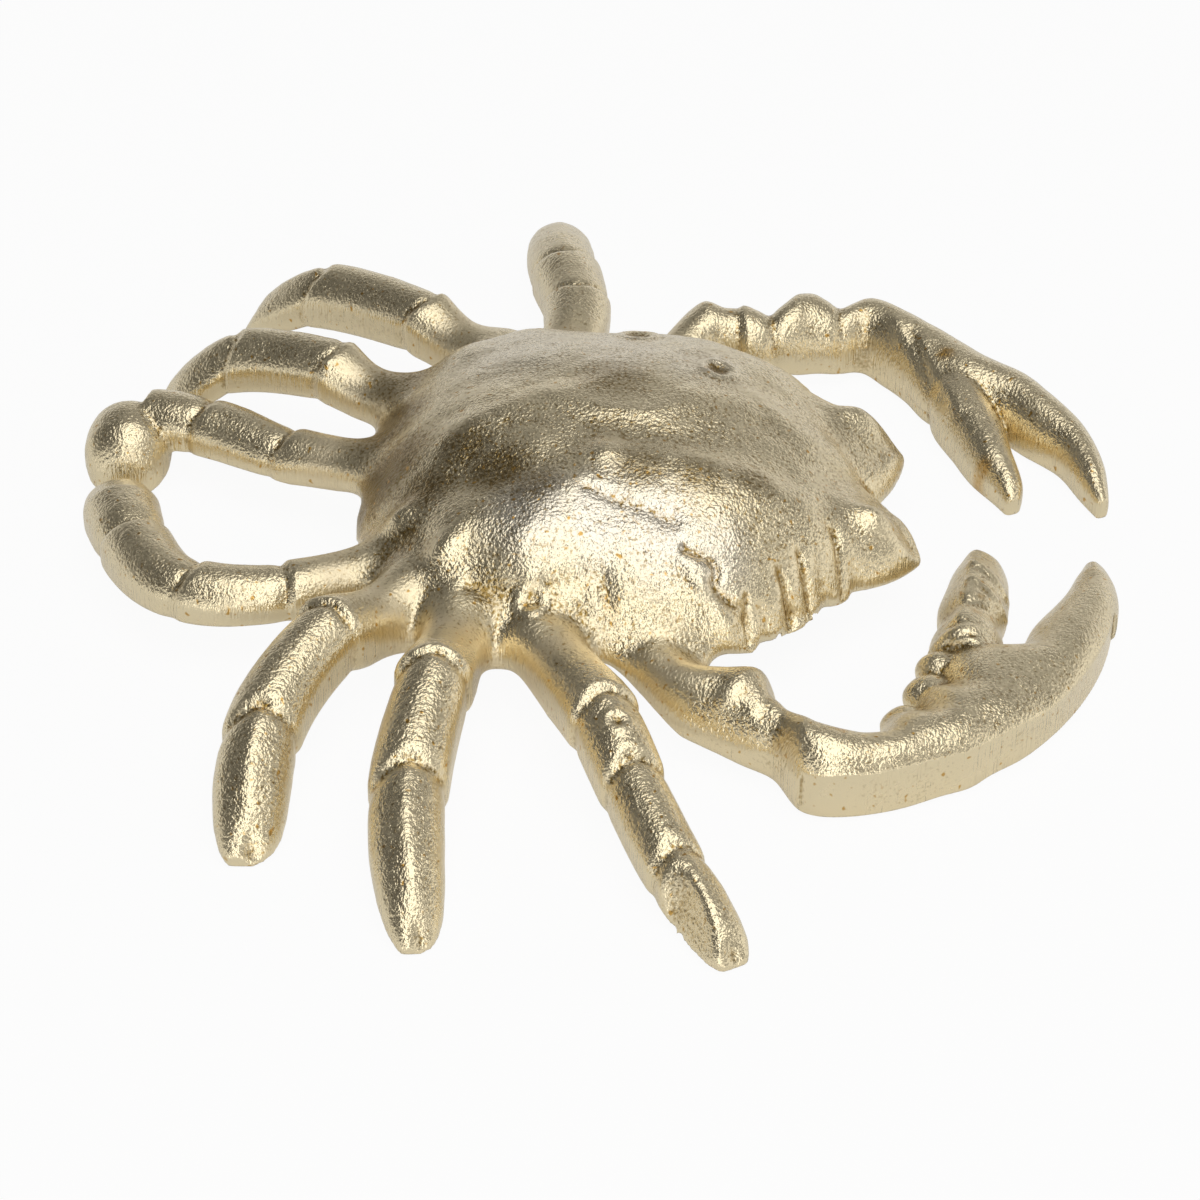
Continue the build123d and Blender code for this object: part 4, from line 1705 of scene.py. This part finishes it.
@dataclass(frozen=True)
class Tone:
    """Colour of lacquered metal: pale on crests and olive brown in hollows, partly the real lacquer
    pooled there and partly painted shade; painted shade and painted sheen in patches; amber in
    pools.
    """

    # Slow drift, fine specks and rare flecks.
    drift: Speckle = Speckle(60.0, 3.0, 0.5, 0.9)
    speck: Speckle = Speckle(1500.0, 1.0, 0.53, 3.4)
    fleck: Speckle = Speckle(900.0, 0.0, 0.74, 9.0)
    # What each layer adds.
    filed_calm: float = 0.6
    hollow_share: float = 0.75
    painted_shade_share: float = 0.75
    shade_share: float = 0.65
    painted_sheen_share: float = 0.7
    pool_scale: float = 700.0
    pool_gain: float = 1.7
    # Colours of the painted sheen, of the painted shade, and of the amber pools.
    worn: Colour = (0.84, 0.79, 0.70, 1.0)
    shade: Colour = (0.22, 0.15, 0.05, 1.0)
    amber: Colour = (0.60, 0.36, 0.09, 1.0)

    def group(self) -> bpy.types.NodeTree:
        """Builds the node group.

        Returns:
            The group, from place, two colours and the layers to one colour.
        """
        numbers = dict.fromkeys(("Hollow", "Stain", "Dark", "Worn", "Filed"), Kind.NUMBER)
        group = Group(
            "metal_tone",
            {"Vector": Kind.VECTOR, "Pale": Kind.COLOUR, "Deep": Kind.COLOUR, **numbers},
            {"Color": Kind.COLOUR})
        n, given = group.nodes, group.given
        where, dark = given["Vector"], given["Dark"]
        speck = n.times(self.speck.over(n, where), n.without(given["Filed"], self.filed_calm))
        # Darker in hollows and paler on crests by their depth: partly lacquer pooled in the real
        # casting, partly painted shade.
        depth = n.plus(n.times(given["Hollow"], self.hollow_share), self.drift.over(n, where))
        # Painted shade darkens the colour towards deep here.
        depth = n.plus(depth, n.times(dark, self.painted_shade_share))
        depth = n.plus(depth, speck, clamp=True)
        # Painted sheen: a paler, greyer colour on the lit slopes.
        pale = n.mix(n.times(given["Worn"], self.painted_sheen_share), given["Pale"], self.worn)
        colour = n.mix(depth, pale, given["Deep"])
        # Painted shade also pulls the colour towards the shade colour.
        colour = n.mix(n.times(dark, self.shade_share), colour, self.shade)
        pool = n.times(n.noise(where, self.pool_scale, 2.0), self.pool_gain)
        pool = n.times(given["Stain"], pool, clamp=True)
        amber = n.math("MAXIMUM", pool, self.fleck.over(n, where, clamp=True))
        n.join(n.mix(amber, colour, self.amber), group.made["Color"])
        return group.tree


@dataclass(frozen=True)
class Grain:
    """Sand grain, pits and file marks as a height, with the roughness that goes with them."""

    # Noises of the sand grain by scale and share, and cells of larger pits.
    coarse: float = 1700.0
    fine: float = 3200.0
    fine_share: float = 0.35
    pebbles: float = 1500.0
    pebble_level: float = 0.6
    pebble_share: float = 0.45
    satin_calm: float = 0.35
    filed_calm: float = 0.8
    # File marks, which run upright.
    marks: float = 2600.0
    marks_stretch: Place = (1.0, 1.0, 0.06)
    marks_gain: float = 1.3
    patch: Speckle = Speckle(140.0, 2.0, 0.5, 0.22)
    satin_rough: float = 0.16

    def group(self) -> bpy.types.NodeTree:
        """Builds the node group.

        Returns:
            The group, from place, roughness and the layers to height and roughness.
        """
        group = Group(
            "metal_grain",
            {"Vector": Kind.VECTOR, **dict.fromkeys(("Satin", "Filed", "Base"), Kind.NUMBER)},
            {"Height": Kind.NUMBER, "Roughness": Kind.NUMBER})
        n, given = group.nodes, group.given
        where, filed, satin = given["Vector"], given["Filed"], given["Satin"]
        cells = n.add("ShaderNodeTexVoronoi", feature="SMOOTH_F1")
        n.join(where, cells.inputs["Vector"])
        cells.inputs["Scale"].default_value = self.pebbles
        pebble = n.math("SUBTRACT", self.pebble_level, cells.outputs["Distance"])
        fine = n.times(n.noise(where, self.fine, 1.0), self.fine_share)
        grain = n.plus(n.noise(where, self.coarse, 1.0), fine)
        grain = n.plus(grain, n.times(pebble, self.pebble_share))
        stretch = n.add("ShaderNodeMapping")
        n.join(where, stretch.inputs["Vector"])
        stretch.inputs["Scale"].default_value = self.marks_stretch
        marks = n.times(n.noise(stretch.outputs["Vector"], self.marks, 1.0), filed)
        height = n.times(grain, n.without(satin, self.satin_calm))
        height = n.times(height, n.without(filed, self.filed_calm))
        height = n.plus(height, n.times(marks, self.marks_gain))
        n.join(height, group.made["Height"])
        rough = n.plus(given["Base"], self.patch.over(n, where))
        rough = n.plus(rough, n.times(satin, self.satin_rough), clamp=True)
        n.join(rough, group.made["Roughness"])
        return group.tree


@dataclass(frozen=True)
class MetalFinish:
    """A cast metal finish under clear lacquer."""

    name: str
    pale: Colour
    deep: Colour
    roughness: float
    bump: float
    coat: float = 0.35
    coat_roughness: float = 0.22

    def material(self, tone: bpy.types.NodeTree, grain: bpy.types.NodeTree) -> bpy.types.Material:
        """Builds the material.

        Args:
            tone: The shared group for its colour.
            grain: The shared group for its surface.

        Returns:
            The material.
        """
        material = bpy.data.materials.new(self.name)
        material.use_nodes = True
        n = Nodes(material.node_tree)
        shader = material.node_tree.nodes["Principled BSDF"]
        shader.inputs["Metallic"].default_value = 1.0
        shader.inputs["Coat Weight"].default_value = self.coat
        shader.inputs["Coat Roughness"].default_value = self.coat_roughness
        colour = n.add("ShaderNodeGroup", node_tree=tone)
        colour.inputs["Pale"].default_value = self.pale
        colour.inputs["Deep"].default_value = self.deep
        relief = n.add("ShaderNodeGroup", node_tree=grain)
        relief.inputs["Base"].default_value = self.roughness
        sources = {"Vector": n.add("ShaderNodeTexCoord").outputs["Object"]}
        for name in LAYERS:
            layer = n.add("ShaderNodeAttribute", attribute_name=name)
            sources[name.capitalize()] = layer.outputs["Fac"]
        for node in (colour, relief):
            for socket in node.inputs:
                if socket.name in sources:
                    n.join(sources[socket.name], socket)
        bump = n.add("ShaderNodeBump")
        bump.inputs["Strength"].default_value = 1.0
        bump.inputs["Distance"].default_value = self.bump
        n.join(relief.outputs["Height"], bump.inputs["Height"])
        n.join(colour.outputs["Color"], shader.inputs["Base Color"])
        n.join(relief.outputs["Roughness"], shader.inputs["Roughness"])
        n.join(bump.outputs["Normal"], shader.inputs["Normal"])
        return material


# Deep colours: the olive brown of the hollows, partly lacquer pooled in the real casting and partly
# painted shade.
CAST = MetalFinish("cast_metal", (0.88, 0.76, 0.51, 1), (0.33, 0.21, 0.05, 1), 0.26, 0.00019)
WELDED = MetalFinish("weld_metal", (0.88, 0.76, 0.52, 1), (0.46, 0.32, 0.12, 1), 0.29, 0.00016)


@dataclass
class Crab:
    """The whole ornament, from its skin to its dressed pieces."""

    foundry: Foundry = Foundry()
    sharp_angle: float = 68.0

    def build(self, low: Vector, high: Vector) -> None:
        """Models the crab and dresses a piece for every CAD node.

        Args:
            low: Lower corner of the part's box.
            high: Its upper corner.
        """
        roots = [limb.root() for limb in LIMBS]
        skin = self.foundry.fused()
        self.foundry.worked(skin, roots, low, high)
        skin = self.foundry.thinned(skin)
        found = self.foundry.named(self.foundry.sawn(skin, roots))
        faces = [p.vertices for p in skin.polygons]
        tree = BVHTree.FromPolygons([v.co for v in skin.vertices], faces)
        tone, grain = Tone().group(), Grain().group()
        finishes = {Slot.CAST: CAST.material(tone, grain), Slot.WELD: WELDED.material(tone, grain)}
        for name, piece in sorted(found.items()):
            slot = Slot.WELD if name.endswith("_weld") else Slot.CAST
            self.finish(piece, name, finishes[slot])
            self.foundry.soothe(piece.data, skin, tree, roots)
            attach(piece, "root")
            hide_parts(name)
            log.info("%s: %d faces, %s", piece.name, len(piece.data.polygons), slot.value)
        for name in frame["nodes"]:
            if name not in found:
                log.warning("no piece stands for %s", name)

    def finish(self, piece: bpy.types.Object, name: str, material: bpy.types.Material) -> None:
        """Names a piece and gives it its material.

        Args:
            piece: The sawn piece.
            name: The CAD node that it stands for.
            material: Its finish.
        """
        piece.name = name + "_form"
        piece.data.name = piece.name
        piece.data.materials.clear()
        piece.data.materials.append(material)
        for face in piece.data.polygons:
            face.use_smooth = True
            face.material_index = 0
        piece.data.set_sharp_from_angle(angle=math.radians(self.sharp_angle))


@dataclass(frozen=True)
class SoftBox:
    """A soft box that faces the crab, by the brightness of its face."""

    name: str
    place: Place
    size: Point
    radiance: float

    def build(self) -> None:
        """Puts the lamp in the scene."""
        data = bpy.data.lights.new(self.name, "AREA")
        data.shape = "RECTANGLE"
        data.size, data.size_y = self.size
        data.energy = self.radiance * math.pi * self.size[0] * self.size[1]
        lamp = bpy.data.objects.new(self.name, data)
        lamp.location = self.place
        lamp.rotation_euler = (-Vector(self.place)).to_track_quat("-Z", "Y").to_euler()
        bpy.context.scene.collection.objects.link(lamp)


@dataclass(frozen=True)
class Studio:
    """White table, soft boxes, a plain room and the camera that took the photograph."""

    camera_place: Place = (-0.5332, 0.0125, 0.3615)
    camera_turn: Place = (54.996, -0.819, -90.846)
    lens: float = 99.0
    sensor: float = 36.0
    clip_start: float = 0.01
    floor_size: float = 3.0
    paper: Colour = (0.86, 0.86, 0.85, 1)
    seen_white: float = 0.94
    mirrored_white: float = 0.25
    # Height of a direction and how bright the room is there, in warm grey.
    room: Rows = ((0.0, 0.95), (0.16, 0.90), (0.38, 0.35), (0.72, 0.23), (1.0, 0.38))
    warmth: Place = (1.0, 0.985, 0.96)
    # Level and gain of the dimmer part of the room, on the crab's left and above the table.
    left_side: Point = (-0.05, 2.2)
    above_table: Point = (-0.03, 8.0)
    dimming: float = 0.6
    boxes: tuple[SoftBox, ...] = (
        SoftBox("top_box", (-0.20, -0.12, 0.95), (1.0, 1.0), 1.2),
        SoftBox("near_box", (-1.0, 0.0, 0.34), (0.5, 1.5), 1.25),
        SoftBox("rear_box", (-0.75, 0.75, 0.30), (0.5, 0.3), 1.0),
        SoftBox("front_box", (0.0, -1.1, 0.40), (0.8, 0.4), 0.45))

    def floor(self) -> None:
        """A pale table, white to the camera and in the metal, that keeps the shadow."""
        form = bmesh.new()
        bmesh.ops.create_grid(form, x_segments=1, y_segments=1, size=self.floor_size)
        floor = new_object("floor", finished(form, "floor"))
        material = bpy.data.materials.new("white_table")
        material.use_nodes = True
        n = Nodes(material.node_tree)
        n.tree.nodes.clear()
        path = n.add("ShaderNodeLightPath").outputs
        seen = n.plus(n.times(path["Is Camera Ray"], self.seen_white),
                      n.times(path["Is Glossy Ray"], self.mirrored_white), clamp=True)
        paper = n.add("ShaderNodeBsdfDiffuse")
        paper.inputs["Color"].default_value = self.paper
        glow = n.add("ShaderNodeEmission")
        glow.inputs["Strength"].default_value = 1.0
        mixed = n.mix_shaders(seen, paper.outputs[0], glow.outputs[0])
        n.join(mixed, n.add("ShaderNodeOutputMaterial").inputs["Surface"])
        floor.data.materials.append(material)
        floor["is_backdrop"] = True

    def world(self) -> None:
        """A room that is pale at the horizon and dim above it, white to the camera."""
        world = bpy.data.worlds.new("room")
        bpy.context.scene.world = world
        world.use_nodes = True
        n = Nodes(world.node_tree)
        n.tree.nodes.clear()
        split = n.add("ShaderNodeSeparateXYZ")
        n.join(n.add("ShaderNodeTexCoord").outputs["Generated"], split.inputs[0])
        ramp = n.add("ShaderNodeValToRGB")
        n.join(split.outputs["Z"], ramp.inputs[0])
        stops = ramp.color_ramp.elements
        while len(stops) < len(self.room):
            stops.new(0.5)
        for stop, (height, value) in zip(stops, self.room):
            stop.position = height
            stop.color = (*(value * tint for tint in self.warmth), 1)
        aside, above = (
            n.times(n.plus(split.outputs[axis], level), gain, clamp=True)
            for axis, (level, gain) in (("Y", self.left_side), ("Z", self.above_table)))
        room = n.add("ShaderNodeBackground")
        n.join(ramp.outputs["Color"], room.inputs["Color"])
        n.join(n.without(n.times(aside, above), self.dimming), room.inputs["Strength"])
        white = n.add("ShaderNodeBackground")
        to_camera = n.add("ShaderNodeLightPath").outputs["Is Camera Ray"]
        mixed = n.mix_shaders(to_camera, room.outputs[0], white.outputs[0])
        n.join(mixed, n.add("ShaderNodeOutputWorld").inputs["Surface"])

    def camera(self) -> None:
        """Places the camera and sets the frame and the view of the scene."""
        data = bpy.data.cameras.new("camera")
        data.lens = self.lens
        data.sensor_width = self.sensor
        data.clip_start = self.clip_start
        camera = bpy.data.objects.new("camera", data)
        camera.location = self.camera_place
        camera.rotation_euler = tuple(math.radians(a) for a in self.camera_turn)
        scene = bpy.context.scene
        scene.collection.objects.link(camera)
        scene.camera = camera
        scene.render.resolution_x = scene.render.resolution_y = PHOTO_SIDE
        scene.view_settings.view_transform = "Standard"

    def build(self) -> None:
        """Sets the stage, the lamps, the room and the camera."""
        self.floor()
        for box in self.boxes:
            box.build()
        self.world()
        self.camera()


def main() -> None:
    """Builds, dresses and lights the crab inside the box of the part's own pieces."""
    logging.basicConfig(level=logging.INFO, format="%(name)s %(message)s")
    low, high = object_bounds()
    Crab().build(low, high)
    Studio().build()


if __name__ == "__main__":
    main()
